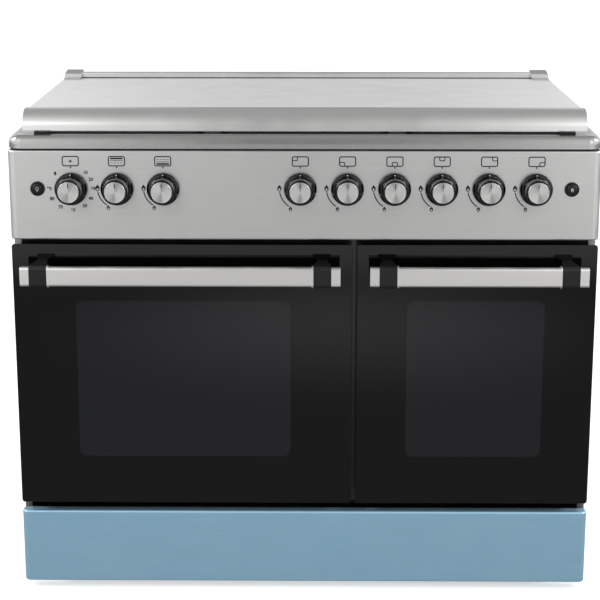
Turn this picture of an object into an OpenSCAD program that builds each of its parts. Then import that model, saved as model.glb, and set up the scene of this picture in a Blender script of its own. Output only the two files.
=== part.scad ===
// Free-standing gas cooker, six burners, oven and storage cabinet.
// Millimetres, +Z up. The origin is on the floor, at the centre of the whole outline.
// The front faces -Y. The left side, seen from the front, is -X.

/* [Body] */
// Width over the two side panels
body_w = 1000; // [960:5:1060]
// Depth from the face of the control panel to the back panel
body_d = 525; // [515:5:580]
// Height of the base pan above the floor, which is the height of the feet
foot_h = 13; // [12:1:40]
// Thickness of the steel sheet
sheet = 1.2; // [0.8:0.1:1.5]
// Width of the folded flanges of the side panels
flange_w = 12; // [8:1:14]

/* [Storage drawer] */
// Height of the drawer's face
drawer_h = 134; // [110:1:160]
// Finger gap between the drawer's face and the doors
drawer_gap = 16; // [14:1:30]
// Depth of the folded steel face of the drawer
drawer_face_d = 20; // [12:1:24]
// Length of the drawer's box behind its face
drawer_box_d = 440; // [300:10:450]
// Height of the drawer's box
drawer_box_h = 92; // [60:2:94]
// Radius of the rounded edges of the drawer's face
drawer_corner_r = 10; // [4:1:14]

/* [Doors] */
// Height of both doors
door_h = 467; // [460:1:520]
// Width of the oven door
oven_door_w = 581; // [560:1:600]
// Gap between the two doors
door_split = 8; // [4:1:12]
// Thickness of a door without its handle
door_t = 30; // [28:1:34]
// Thickness of the outer glass of a door
door_glass_t = 4; // [3:0.5:5]
// Thickness of the inner glass of a door
inner_glass_t = 4; // [3:0.5:5]
// Space between a closed door and the carcass, where the seal lies
seal_gap = 7; // [6:0.5:9]
// Width of the window in the oven door
oven_window_w = 369; // [300:1:380]
// Width of the window in the cabinet door
cabinet_window_w = 236; // [180:1:240]
// Height of both windows
window_h = 281; // [240:1:300]
// Height of a window's lower edge above the door's lower edge
window_rise = 87; // [80:1:100]

/* [Door handles] */
// How far a handle stands out in front of its door
handle_out = 55; // [45:1:65]
// Height of a handle's bar
bar_h = 33; // [26:1:36]
// Depth of a handle's bar
bar_d = 14; // [10:1:18]
// Distance from a door's edge to the end of its bar
bar_inset = 21; // [14:1:30]
// Distance from a door's upper edge to the top of its bar
bar_drop = 29; // [20:1:40]
// Width of a bracket where it holds the bar
bracket_w = 30; // [22:1:36]
// Distance from a bar's end to its bracket
bracket_inset = 15.5; // [10:0.5:30]

/* [Oven and cabinet] */
// Width of the oven's cavity
oven_w = 430; // [400:5:450]
// Distance from the cabinet door's edge to the storage cabinet
cabinet_side = 39.5; // [37:0.5:55]
// Height of both cavities
cavity_h = 400; // [370:5:405]
// Depth of both cavities
cavity_d = 430; // [400:5:440]
// Thickness of the mineral wool round the oven
wool_t = 22; // [15:1:26]

/* [Control panel] */
// Height of the control panel
panel_h = 153; // [145:1:165]
// Gap between the doors and the control panel
panel_gap = 8; // [5:1:12]
// Height of the knobs' axes above the panel's lower edge
knob_rise = 88; // [80:1:92]
// Distance between neighbouring hob knobs
hob_knob_pitch = 79.4; // [70:0.2:80]
// Distance between the timer, grill and oven knobs
oven_knob_pitch = 77.8; // [70:0.2:82]
// Radius of a knob's skirt
skirt_r = 27.5; // [24:0.5:30]
// How far a knob's face stands out of the panel
knob_out = 39; // [34:1:44]
// Radius of the bezel of a push button
bezel_r = 12.3; // [11.5:0.1:15]

/* [Hob] */
// Height of the hob's pressed rim
rim_h = 22; // [20:1:26]
// Radius of the rim's rounded upper edge
rim_r = 14; // [6:1:16]
// Radius of the hob's corners seen from above
hob_corner_r = 22; // [16:1:30]
// Gap between the control panel and the hob
hob_gap = 3; // [2:0.5:6]
// Gap between neighbouring pan supports
support_gap = 30; // [20:1:40]
// Depth of one pan support
support_d = 428; // [400:4:432]
// Height of the pan supports' tops above the hob
support_h = 31; // [28:1:32]

/* [Glass lid] */
// Gap between the hob's rim and the lid's front trim
lid_gap = 5.5; // [5:0.5:12]
// Radius of the lid's rounded front trim
trim_r = 34.2; // [32:0.2:40]
// Thickness of the lid's glass
lid_glass_t = 4; // [3:0.5:6]
// Distance from the body's side to the edge of the lid's glass
lid_side = 29; // [23:1:40]
// Distance of the lid's trim behind the panel's face
lid_front = 16; // [12:1:18]

/* [Gas inlet] */
// How far the gas inlet stands out behind the back panel
inlet_out = 20; // [16:1:40]
// Radius of the gas inlet's thread
inlet_r = 10.5; // [8:0.5:13]

/* [Hidden] */
$fn = 48;

// Clearances
slide_gap = 0.3;
run_gap = 0.05;
seat_gap = 0.1;

// Places along Y, from the front to the back
half_w = body_w / 2;
front_y = handle_out - (handle_out + body_d + inlet_out) / 2;
back_y = front_y + body_d;
carcass_y = front_y + door_t + seal_gap;
frame_back_y = carcass_y + sheet;
rear_inner_y = back_y - 2 * sheet;
cavity_back_y = carcass_y + cavity_d;

// Places along Z, from the floor up
drawer_z1 = foot_h + drawer_h;
door_z0 = drawer_z1 + drawer_gap;
door_z1 = door_z0 + door_h;
panel_z0 = door_z1 + panel_gap;
panel_z1 = panel_z0 + panel_h;
hob_z0 = panel_z1 + hob_gap;
rim_z = hob_z0 + rim_h;
knob_z = panel_z0 + knob_rise;
deck_z = drawer_z1 + 2;
frame_z1 = panel_z0 + 2;

// The two doors and the cavities behind them
door_margin = 1;
door_corner_r = 5;
oven_door_x = [-half_w + door_margin, -half_w + door_margin + oven_door_w];
cabinet_door_x = [oven_door_x[1] + door_split, half_w - door_margin];
oven_cx = (oven_door_x[0] + oven_door_x[1]) / 2;
cabinet_cx = (cabinet_door_x[0] + cabinet_door_x[1]) / 2;
cabinet_w = cabinet_door_x[1] - cabinet_door_x[0] - 2 * cabinet_side;
cavity_rise = 32;
cavity_z0 = door_z0 + cavity_rise;
cavity_z1 = cavity_z0 + cavity_h;
cavity_r = 12;
ledge_w = 9;
ledge_h = 4;
ledge_levels = [0.28, 0.5, 0.72];
rack_level = ledge_levels[1];
floor_rise = 34;
window_lap = 8;

// Oven burner, grill and lamp, with their ways through the back of the oven
burner_tail_r = 10;
grill_tail_r = 8;
oven_tail_z = cavity_z0 + 16;
grill_z1 = cavity_z1 - 12;
grill_h = 18;
grill_tail_z = grill_z1 - grill_h / 2;
burner_tail_y = cavity_back_y + sheet + wool_t + 6;
lamp_r = 18;
lamp_inset = 60;
lamp_x = oven_cx + oven_w / 2 - lamp_inset;
lamp_z = cavity_z1 - lamp_inset;

// Door hinges: an axis along X near the lower edge of each door
hinge_y = front_y + 22;
hinge_z = door_z0 + 12;
hinge_lobe_r = 8;
hinge_pin_r = 4;
lug_w = 20;
ear_w = 12;
pocket_gap = 0.75;
lug_inset = 31;
frame_edge = 6;
frame_foot = 10;

// Handles
bar_z1 = door_z1 - bar_drop;
bar_y0 = front_y - handle_out;
collar_wall = 2;
strip_w = 3;
bar_edge_r = 4;
arm_h = 26;
arm_root_w = 18;

// Knobs, spindles, taps and buttons, numbered from left to right
timer_inset = 106.2;
hob_knobs_inset = 109.8;
button_inset = 49.5;
timer_x = -half_w + timer_inset;
grill_x = timer_x + oven_knob_pitch;
oven_x = grill_x + oven_knob_pitch;
hob_knob_x0 = half_w - hob_knobs_inset - 5 * hob_knob_pitch;
hob_knobs_x = [for (i = [0:5]) hob_knob_x0 + i * hob_knob_pitch];
gas_knobs_x = concat([grill_x, oven_x], hob_knobs_x);
button_x = half_w - button_inset;
knob_lift = 4.5;
spindle_r = 4;
timer_shaft_r = 3;
spindle_tip = knob_out - 10;
cap_r = 18.2;
cap_t = 1.4;
push = 3;
button_r = 8.5;
button_out = 6;
button_end_y = front_y + 14;
bezel_neck_r = 10.5;
spindle_hole_r = 6;
tap_y0 = front_y + sheet + 2;
tap_r = 11;
manifold_r = 10;
manifold_back = 60;
manifold_y = front_y + manifold_back;
tap_outlet_back = 32;
tap_outlet_y = front_y + tap_outlet_back;
tap_outlet_h = 3;
spindle_end_y = front_y + 24;

// Hob, burners and pan supports
rim_w = 28;
well_drop = 6;
well_gap = 2;
well_r = 24;
field_z = rim_z - well_drop;
support_side = 41;
support_w = (2 * (half_w - support_side) - 2 * support_gap) / 3;
support_pitch = support_w + support_gap;
field_y0 = front_y + rim_w;
field_y1 = front_y + rim_w + support_d + 8;
support_y0 = front_y + rim_w + 0.5;
support_bar = 8;
support_foot = 2;
support_top_z = field_z + support_h;
finger_t = 6;
front_row_y = support_y0 + support_d * 0.25;
rear_row_y = support_y0 + support_d * 0.75;
// One row for each burner: column, row (0 front, 1 rear) and radius, in the order of the knobs
burners = [[-1, 1, 38], [-1, 0, 30], [0, 0, 24], [0, 1, 44], [1, 1, 30], [1, 0, 38]];
cup_gap = 8;
cup_h = 18;
flame_teeth = 24;
crown_z0 = 3;
crown_z1 = 14;
burner_cap_t = 6;
electrode_r = 2.5;

// Lid
lid_half = half_w - lid_side;
lid_z0 = rim_z + lid_gap;
lid_z1 = lid_z0 + trim_r;
trim_wall = 2;
lip_t = 1.5;
lip_w = 12.5;
hem_r = 1.5;
hem_out = 0.3;
trim_y0 = front_y + lid_front;
trim_axis_y = trim_y0 + trim_r;
lid_glass_z1 = lid_z1 - lip_t;
lid_glass_z0 = lid_glass_z1 - lid_glass_t;
pivot_inset = 18;
pivot_y = back_y - pivot_inset;
pivot_z = lid_glass_z0 - 5.2;
lid_glass_y1 = pivot_y - 7;
trim_over = 4.3;
clamp_w = 31.5;
clamp_inset = 62;
clamp_x = half_w - clamp_inset;
clamp_lip = 42;
clamp_lip_t = 1.3;
clamp_jaw = 18;
clamp_jaw_t = 6;
clamp_riser = 25;
clamp_front_h = 8.3;
clamp_rear_h = 12.8;
clamp_rear = 15;
clamp_drop = 9;
post_t = 11.4;
post_foot_h = 3;
post_foot_d = 23;
rail_w = 12;
rail_h = 10;

// Feed pipes under the hob
pipe_r = 2.5;
elbow_r = 3;
pipe_level_0 = knob_z + 18;
pipe_step = 6.1;
pipe_run_back = 95;
pipe_run_y = front_y + pipe_run_back;
pipe_run_step = 8;
drop_y = rear_inner_y - 15;

// Levelling feet
foot_r = 20;
stud_r = 5;
foot_inset = 50;
foot_rows = [frame_back_y + foot_inset, rear_inner_y - foot_inset];

// Drawer and its rails on the base pan
pan_lip = 18;
rail_inset = 60;
rail_x = half_w - rail_inset;
rail_top_w = 26;
drawer_box_side = 34;
drawer_box_x = half_w - drawer_box_side;
drawer_box_z0 = foot_h + 27;

// Gas inlet and cable gland in the back panel
inlet_inset = 46;
inlet_x = half_w - inlet_inset;
inlet_nut_r = 15;
inlet_nut_t = 10;
inlet_bore_r = 7;
gland_inset = 80;
gland_x = -half_w + gland_inset;
gland_z = knob_z;
gland_r = 8;

// Solids given by their limits, and rods and extrusions along one axis

module span(x, y, z) {
    translate([x[0], y[0], z[0]]) cube([x[1] - x[0], y[1] - y[0], z[1] - z[0]]);
}

module rod_x(x, y, z, r) {
    translate([x[0], y, z]) rotate([0, 90, 0]) cylinder(h = x[1] - x[0], r = r);
}

module rod_y(x, y, z, r) {
    translate([x, y[1], z]) rotate([90, 0, 0]) cylinder(h = y[1] - y[0], r = r);
}

module rod_z(x, y, z, r) {
    translate([x, y, z[0]]) cylinder(h = z[1] - z[0], r = r);
}

module xz_extrude(y) {
    translate([0, y[1], 0]) rotate([90, 0, 0]) linear_extrude(y[1] - y[0]) children();
}

module yz_extrude(x) {
    translate([x[0], 0, 0]) rotate([90, 0, 90]) linear_extrude(x[1] - x[0]) children();
}

module both_sides() {
    for (side = [0, 1]) mirror([side, 0, 0]) children();
}

// A rectangle between two corners with round corners
module round_rect(x, y, r) {
    translate([x[0] + r, y[0]]) square([x[1] - x[0] - 2 * r, y[1] - y[0]]);
    translate([x[0], y[0] + r]) square([x[1] - x[0], y[1] - y[0] - 2 * r]);
    for (px = [x[0] + r, x[1] - r], py = [y[0] + r, y[1] - r]) translate([px, py]) circle(r);
}

// A rectangle whose two front corners, at its low Y side, are round
module front_round(x, y, r) {
    translate([x[0] + r, y[0]]) square([x[1] - x[0] - 2 * r, y[1] - y[0]]);
    translate([x[0], y[0] + r]) square([x[1] - x[0], y[1] - y[0] - r]);
    for (px = [x[0] + r, x[1] - r]) translate([px, y[0] + r]) circle(r);
}

// Carcass

module side_panels() {
    color("lightgray") both_sides() {
        span([-half_w, -half_w + sheet], [carcass_y, back_y - sheet], [foot_h, hob_z0]);
        span([-half_w, -half_w + flange_w], [carcass_y, frame_back_y], [foot_h, hob_z0]);
        span([-half_w, -half_w + flange_w], [rear_inner_y, back_y - sheet], [foot_h, hob_z0]);
    }
}

module back_panel() {
    vent_w = 60;
    vent_h = 6;
    vent_pitch = 90;
    vent_row_pitch = 20;
    vent_z0 = panel_z0 + 12;
    color("silver") difference() {
        span([-half_w, half_w], [back_y - sheet, back_y], [foot_h, hob_z0]);
        rod_y(inlet_x, [back_y - 2 * sheet, back_y + sheet], knob_z, inlet_r + slide_gap);
        rod_y(gland_x, [back_y - 2 * sheet, back_y + sheet], gland_z, gland_r + seat_gap);
        for (column = [-3:3], row = [0:2])
            span([column * vent_pitch - vent_w / 2, column * vent_pitch + vent_w / 2],
                [back_y - 2 * sheet, back_y + sheet],
                [vent_z0 + row * vent_row_pitch, vent_z0 + row * vent_row_pitch + vent_h]);
    }
}

module base_pan() {
    x = [-half_w + sheet, half_w - sheet];
    y = [frame_back_y, rear_inner_y];
    z = [foot_h, foot_h + pan_lip];
    color("gray") {
        difference() {
            span(x, y, z);
            span([x[0] + sheet, x[1] - sheet], [y[0] + sheet, y[1] - sheet], [foot_h + sheet, z[1] + 1]);
            for (px = [-1, 1], py = foot_rows)
                rod_z(px * (half_w - foot_inset), py, [foot_h - 1, z[1]], stud_r + slide_gap);
        }
        both_sides() difference() {
            span([rail_x - rail_top_w, rail_x], [y[0] + sheet, y[1] - sheet],
                [foot_h + sheet, drawer_box_z0 - slide_gap]);
            span([rail_x - rail_top_w + sheet, rail_x - sheet], [y[0], y[1]],
                [foot_h, drawer_box_z0 - slide_gap - sheet]);
        }
    }
}

// Four feet, each with a stud through the pan and a nut on it
module levelling_feet() {
    neck_r = 9;
    nut_h = 8;
    nut_z = foot_h + sheet;
    color("dimgray") for (px = [-1, 1], py = foot_rows)
        translate([px * (half_w - foot_inset), py, 0]) {
            cylinder(h = foot_h * 0.6, r = foot_r);
            cylinder(h = foot_h, r = neck_r);
            cylinder(h = nut_z + nut_h + 4, r = stud_r);
            difference() {
                translate([0, 0, nut_z]) cylinder(h = nut_h, r = neck_r, $fn = 6);
                translate([0, 0, nut_z - 1]) cylinder(h = nut_h + 2, r = stud_r + seat_gap);
            }
        }
}

module deck_plate() {
    color("gray") span([-half_w + sheet, half_w - sheet], [frame_back_y, rear_inner_y],
        [deck_z, deck_z + sheet]);
}

module cavity_outline(cx, w, grow = 0) {
    round_rect([cx - w / 2 - grow, cx + w / 2 + grow], [cavity_z0 - grow, cavity_z1 + grow],
        cavity_r + grow);
}

module front_frame() {
    edge = half_w - flange_w;
    color("gainsboro") xz_extrude([carcass_y, frame_back_y]) difference() {
        translate([-edge, deck_z]) square([2 * edge, frame_z1 - deck_z]);
        cavity_outline(oven_cx, oven_w);
        cavity_outline(cabinet_cx, cabinet_w);
    }
}

module control_panel() {
    end_r = 12;
    color("silver") difference() {
        translate([0, 0, panel_z0]) linear_extrude(panel_h)
            front_round([-half_w, half_w], [front_y, carcass_y], end_r);
        translate([0, 0, panel_z0 + sheet]) linear_extrude(panel_h - 2 * sheet)
            front_round([-half_w + sheet, half_w - sheet], [front_y + sheet, carcass_y + 1],
                end_r - sheet);
        for (x = concat([timer_x], gas_knobs_x))
            rod_y(x, [front_y - 1, front_y + 2 * sheet], knob_z, spindle_hole_r);
        for (x = [-button_x, button_x])
            rod_y(x, [front_y - 1, front_y + 2 * sheet], knob_z, bezel_neck_r + seat_gap);
    }
}

// Oven

// A cavity of sheet steel, open at the front, with ledges along both sides
module cavity_shell(cx, w, levels) {
    t = sheet;
    xz_extrude([frame_back_y, cavity_back_y]) difference() {
        cavity_outline(cx, w, t);
        cavity_outline(cx, w);
    }
    xz_extrude([frame_back_y, frame_back_y + t]) difference() {
        cavity_outline(cx, w, flange_w);
        cavity_outline(cx, w);
    }
    for (level = levels, side = [-1, 1]) {
        z = cavity_z0 + cavity_h * level;
        wall_x = cx + side * w / 2;
        span([min(wall_x, wall_x - side * ledge_w), max(wall_x, wall_x - side * ledge_w)],
            [frame_back_y + 20, cavity_back_y - 10], [z - ledge_h, z]);
    }
}

module tail_holes(y, gap) {
    rod_y(oven_x, y, oven_tail_z, burner_tail_r + gap);
    rod_y(grill_x, y, grill_tail_z, grill_tail_r + gap);
    rod_y(lamp_x, y, lamp_z, lamp_r + gap);
}

module oven_liner() {
    color("dimgray") {
        cavity_shell(oven_cx, oven_w, ledge_levels);
        difference() {
            xz_extrude([cavity_back_y, cavity_back_y + sheet]) cavity_outline(oven_cx, oven_w, sheet);
            tail_holes([cavity_back_y - 1, cavity_back_y + sheet + 1], slide_gap);
        }
        oven_floor_plate();
    }
}

// The removable floor over the lower burner: a plate on two folded legs, with slots for the heat
module oven_floor_plate() {
    x = [oven_cx - oven_w / 2 + cavity_r, oven_cx + oven_w / 2 - cavity_r];
    y = [frame_back_y + 24, cavity_back_y - 16];
    z = [cavity_z0 + floor_rise, cavity_z0 + floor_rise + sheet];
    slot_w = 8;
    slot_l = 60;
    slot_pitch = 42;
    row_reach = 110;
    mid_y = (y[0] + y[1]) / 2;
    difference() {
        span(x, y, z);
        for (column = [-4:4], row = [-row_reach, row_reach])
            span([oven_cx + column * slot_pitch - slot_w / 2, oven_cx + column * slot_pitch + slot_w / 2],
                [mid_y + row - slot_l / 2, mid_y + row + slot_l / 2], [z[0] - 1, z[1] + 1]);
    }
    for (side = [0, 1]) span([side == 0 ? x[0] : x[1] - sheet, side == 0 ? x[0] + sheet : x[1]],
        y, [cavity_z0 + seat_gap, z[1]]);
}

module oven_insulation() {
    y = [frame_back_y + sheet, cavity_back_y + sheet];
    color("beige") {
        xz_extrude(y) difference() {
            cavity_outline(oven_cx, oven_w, wool_t);
            cavity_outline(oven_cx, oven_w, sheet);
        }
        difference() {
            xz_extrude([y[1], y[1] + wool_t]) cavity_outline(oven_cx, oven_w, wool_t);
            tail_holes([y[1] - 1, y[1] + wool_t + 1], 1);
        }
    }
}

// The lower burner is an H of tube on feet, and the grill is a tube in a tray hung from the roof.
// The tail of each goes out through the back wall to its gas pipe.
module oven_burners() {
    bar_reach = 130;
    bars_inset = [70, 90];
    grill_inset = [80, 120];
    grill_side = 90;
    bars_y = [carcass_y + bars_inset[0], cavity_back_y - bars_inset[1]];
    grill_y = [carcass_y + grill_inset[0], cavity_back_y - grill_inset[1]];
    grill_reach = oven_w / 2 - grill_side;
    color("lightslategray") {
        rod_y(oven_x, [bars_y[0], burner_tail_y], oven_tail_z, burner_tail_r);
        for (y = bars_y) {
            rod_x([oven_cx - bar_reach, oven_cx + bar_reach], y, oven_tail_z, burner_tail_r - 1);
            for (foot_x = [oven_cx - bar_reach + 12, oven_cx + bar_reach - 12])
                span([foot_x - 2, foot_x + 2], [y - 7, y + 7], [cavity_z0, oven_tail_z]);
        }
        difference() {
            span([oven_cx - grill_reach, oven_cx + grill_reach], grill_y, [grill_z1 - grill_h, grill_z1]);
            span([oven_cx - grill_reach + sheet, oven_cx + grill_reach - sheet],
                [grill_y[0] + sheet, grill_y[1] - sheet], [grill_z1 - grill_h - 1, grill_z1 - sheet]);
        }
        rod_x([oven_cx - grill_reach + sheet / 2, oven_cx + grill_reach - sheet / 2],
            (grill_y[0] + grill_y[1]) / 2, grill_tail_z, grill_tail_r - 1);
        for (side = [-1, 1], y = [grill_y[0] + 15, grill_y[1] - 15])
            rod_z(oven_cx + side * (grill_reach - 15), y, [grill_z1 - 1, cavity_z1], 4);
        rod_y(grill_x, [(grill_y[0] + grill_y[1]) / 2, burner_tail_y], grill_tail_z, grill_tail_r);
    }
}

// A wire shelf on the middle ledges
module oven_rack() {
    wire_r = 2.2;
    frame_r = 3;
    x = [oven_cx - oven_w / 2 + 2 + frame_r, oven_cx + oven_w / 2 - 2 - frame_r];
    y = [frame_back_y + 30, cavity_back_y - 20];
    z = cavity_z0 + cavity_h * rack_level + slide_gap + frame_r;
    wires = 14;
    color("silver") {
        for (px = x) rod_y(px, y, z, frame_r);
        for (py = [y[0], (y[0] + y[1]) / 2, y[1]]) rod_x(x, py, z, frame_r);
        for (px = x, py = y) translate([px, py, z]) sphere(frame_r + 0.4);
        for (i = [1:wires]) rod_y(x[0] + i * (x[1] - x[0]) / (wires + 1), y, z + 1.5, wire_r);
    }
}

// The lamp's glass cover in the oven, on a socket that goes out through the back wall
module oven_lamp() {
    color("white") {
        rod_y(lamp_x, [cavity_back_y, cavity_back_y + sheet + wool_t], lamp_z, lamp_r);
        rod_y(lamp_x, [cavity_back_y - 5, cavity_back_y], lamp_z, lamp_r + 8);
        difference() {
            translate([lamp_x, cavity_back_y - 5, lamp_z]) sphere(lamp_r);
            rod_y(lamp_x, [cavity_back_y - 5, cavity_back_y + 20], lamp_z, lamp_r + 1);
        }
    }
}

// Storage cabinet with one loose shelf

module cabinet_liner() {
    shelf_level = 0.45;
    shelf_front = 40;
    shelf_z = cavity_z0 + cavity_h * shelf_level + seat_gap;
    color("gainsboro") {
        cavity_shell(cabinet_cx, cabinet_w, [shelf_level]);
        xz_extrude([cavity_back_y, cavity_back_y + sheet]) cavity_outline(cabinet_cx, cabinet_w, sheet);
        difference() {
            span([cabinet_cx - cabinet_w / 2 + 1.5, cabinet_cx + cabinet_w / 2 - 1.5],
                [frame_back_y + shelf_front, cavity_back_y - 12], [shelf_z, shelf_z + 10]);
            span([cabinet_cx - cabinet_w / 2, cabinet_cx + cabinet_w / 2],
                [frame_back_y + shelf_front + sheet, cavity_back_y], [shelf_z + sheet, shelf_z + 11]);
        }
    }
}

// Black silicone: the seal round each cavity and the two bumpers under the lid
module rubber_seals() {
    seal_w = 10;
    bumper_inset = 72;
    bumper_w = 27;
    bumper_x = half_w - bumper_inset;
    bumper_y = [front_y + rim_r - 3, field_y0];
    color("black") {
        for (door = [[oven_cx, oven_w], [cabinet_cx, cabinet_w]])
            xz_extrude([front_y + door_t + slide_gap, carcass_y]) difference() {
                cavity_outline(door[0], door[1], seal_w);
                cavity_outline(door[0], door[1]);
            }
        both_sides() span([bumper_x, bumper_x + bumper_w], bumper_y, [rim_z, lid_z0 - slide_gap]);
    }
}

// Hinges of the doors: a plate on the carcass, a lug and a fixed pin that the door turns on

function lug_centres(door_x) = [door_x[0] + lug_inset, door_x[1] - lug_inset];
all_lugs = concat(lug_centres(oven_door_x), lug_centres(cabinet_door_x));

module door_hinge_brackets() {
    plate_t = 2;
    color("silver") for (cx = all_lugs) {
        x = [cx - lug_w / 2, cx + lug_w / 2];
        span(x, [carcass_y - plate_t, carcass_y], [deck_z + 1, hinge_z + hinge_lobe_r]);
        span(x, [hinge_y, carcass_y - plate_t / 2],
            [hinge_z - hinge_lobe_r, hinge_z + hinge_lobe_r]);
        rod_x(x, hinge_y, hinge_z, hinge_lobe_r);
        rod_x([x[0] - ear_w, x[1] + ear_w], hinge_y, hinge_z, hinge_pin_r);
    }
}

// Doors: outer glass, folded steel frame with an ear on each side of each lug, inner glass,
// and a bar handle in two collars

module door_glass(x) {
    xz_extrude([front_y, front_y + door_glass_t]) round_rect(x, [door_z0, door_z1], door_corner_r);
}

module window_outline(cx, w, grow) {
    z0 = door_z0 + window_rise;
    translate([cx - w / 2 - grow, z0 - grow]) square([w + 2 * grow, window_h + 2 * grow]);
}

module door_frame(x, cx, window_w) {
    edge_x = [x[0] + frame_edge, x[1] - frame_edge];
    edge_z = [door_z0 + frame_foot, door_z1 - frame_edge];
    y = [front_y + door_glass_t, front_y + door_t];
    pocket = lug_w / 2 + pocket_gap;
    difference() {
        union() {
            xz_extrude([y[1] - sheet, y[1]]) difference() {
                round_rect(edge_x, edge_z, door_corner_r);
                window_outline(cx, window_w, 0);
            }
            xz_extrude(y) difference() {
                round_rect(edge_x, edge_z, door_corner_r);
                round_rect([edge_x[0] + sheet, edge_x[1] - sheet], [edge_z[0] + sheet, edge_z[1] - sheet],
                    door_corner_r - sheet);
            }
            xz_extrude(y) difference() {
                window_outline(cx, window_w, window_lap + sheet);
                window_outline(cx, window_w, window_lap);
            }
            for (lug_x = lug_centres(x), side = [-1, 1]) {
                near = lug_x + side * pocket;
                far = near + side * ear_w;
                ear = [min(near, far), max(near, far)];
                rod_x(ear, hinge_y, hinge_z, hinge_lobe_r);
                span(ear, [hinge_y - hinge_lobe_r, y[1]], [hinge_z, hinge_z + hinge_lobe_r + 1.5]);
            }
        }
        for (lug_x = lug_centres(x)) {
            span([lug_x - pocket, lug_x + pocket], [hinge_y - hinge_lobe_r - 1, y[1] + 1],
                [edge_z[0] - 1, hinge_z + hinge_lobe_r + 1]);
            rod_x([lug_x - pocket - ear_w - 1, lug_x + pocket + ear_w + 1], hinge_y, hinge_z,
                hinge_pin_r + run_gap);
        }
    }
}

module door_inner_glass(cx, w) {
    y1 = front_y + door_t - sheet;
    xz_extrude([y1 - inner_glass_t, y1]) window_outline(cx, w, window_lap - slide_gap);
}

function bar_span(x) = [x[0] + bar_inset, x[1] - bar_inset];
function collar_spans(x) = let (bar = bar_span(x))
    [[bar[0] + bracket_inset, bar[0] + bracket_inset + bracket_w],
     [bar[1] - bracket_inset - bracket_w, bar[1] - bracket_inset]];

module bar_outline(grow) {
    round_rect([bar_y0 + collar_wall - grow, bar_y0 + collar_wall + bar_d + grow],
        [bar_z1 - bar_h - grow, bar_z1 + grow], bar_edge_r + grow);
}

// The bar, and a bright ring beside the inner face of each collar
module handle_bar(x) {
    collars = collar_spans(x);
    yz_extrude(bar_span(x)) bar_outline(0);
    for (ring = [[collars[0][1], collars[0][1] + strip_w], [collars[1][0] - strip_w, collars[1][0]]])
        yz_extrude(ring) difference() {
            bar_outline(collar_wall);
            bar_outline(seat_gap);
        }
}

// Each bracket is a collar round the bar and an arm that narrows towards the glass
module handle_brackets(x) {
    arm_z = [bar_z1 + collar_wall - arm_h, bar_z1 + collar_wall];
    back_y = bar_y0 + bar_d + 2 * collar_wall;
    for (collar = collar_spans(x)) {
        cx = (collar[0] + collar[1]) / 2;
        difference() {
            yz_extrude(collar) bar_outline(collar_wall);
            yz_extrude([collar[0] - 1, collar[1] + 1]) bar_outline(seat_gap);
        }
        translate([0, 0, arm_z[0]]) linear_extrude(arm_h) polygon([
            [collar[0], back_y - collar_wall / 2], [collar[1], back_y - collar_wall / 2],
            [cx + arm_root_w / 2, front_y - 8], [cx + arm_root_w / 2, front_y],
            [cx - arm_root_w / 2, front_y], [cx - arm_root_w / 2, front_y - 8]]);
    }
}

module oven_door_glass() { color("black") door_glass(oven_door_x); }
module oven_door_frame() { color("gray") door_frame(oven_door_x, oven_cx, oven_window_w); }
module oven_door_inner_glass() { color("darkslategray") door_inner_glass(oven_cx, oven_window_w); }
module oven_handle_bar() { color("silver") handle_bar(oven_door_x); }
module oven_handle_brackets() { color("black") handle_brackets(oven_door_x); }
module cabinet_door_glass() { color("black") door_glass(cabinet_door_x); }
module cabinet_door_frame() { color("gray") door_frame(cabinet_door_x, cabinet_cx, cabinet_window_w); }
module cabinet_door_inner_glass() {
    color("darkslategray") door_inner_glass(cabinet_cx, cabinet_window_w);
}
module cabinet_handle_bar() { color("silver") handle_bar(cabinet_door_x); }
module cabinet_handle_brackets() { color("black") handle_brackets(cabinet_door_x); }

// Storage drawer

module drawer_face() {
    y = [front_y, front_y + drawer_face_d];
    color("steelblue") difference() {
        intersection() {
            translate([0, 0, foot_h]) linear_extrude(drawer_h)
                front_round([-half_w, half_w], y, drawer_corner_r);
            xz_extrude([y[0] - 1, y[1] + 1])
                round_rect([-half_w, half_w], [foot_h, drawer_z1], drawer_corner_r - 4);
        }
        translate([0, 0, foot_h + sheet]) linear_extrude(drawer_h - 2 * sheet)
            front_round([-half_w + sheet, half_w - sheet], [y[0] + sheet, y[1] + 1],
                drawer_corner_r - sheet);
    }
}

// The sheet that closes the back of the face, and the box screwed to it
module drawer_box() {
    sheet_y = front_y + drawer_face_d;
    y = [sheet_y + sheet + seat_gap, sheet_y + drawer_box_d];
    z = [drawer_box_z0, drawer_box_z0 + drawer_box_h];
    edge = 0.5;
    color("gainsboro") {
        xz_extrude([sheet_y, sheet_y + sheet]) round_rect([-half_w + edge, half_w - edge],
            [foot_h + edge, drawer_z1 - edge], drawer_corner_r - 4);
        difference() {
            span([-drawer_box_x, drawer_box_x], y, z);
            span([-drawer_box_x + sheet, drawer_box_x - sheet], [y[0] + sheet, y[1] - sheet],
                [z[0] + sheet, z[1] + 1]);
        }
    }
}

// Hob

// One of the four corner pucks of the hob's rounded block, drawn in by an inset
module rim_puck(inset) {
    r = hob_corner_r - inset;
    edge = rim_r - inset;
    rotate_extrude($fn = 32) {
        square([r, rim_h - rim_r]);
        square([r - edge, rim_h - inset]);
        intersection() {
            translate([r - edge, rim_h - rim_r]) circle(edge, $fn = 32);
            translate([r - edge, 0]) square([edge, rim_h]);
        }
    }
}

module rim_block(inset) {
    x = half_w - hob_corner_r;
    hull() for (px = [-x, x], py = [front_y + hob_corner_r, back_y - hob_corner_r])
        translate([px, py, hob_z0 - (inset > 0 ? 1 : 0)]) rim_puck(inset);
}

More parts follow.
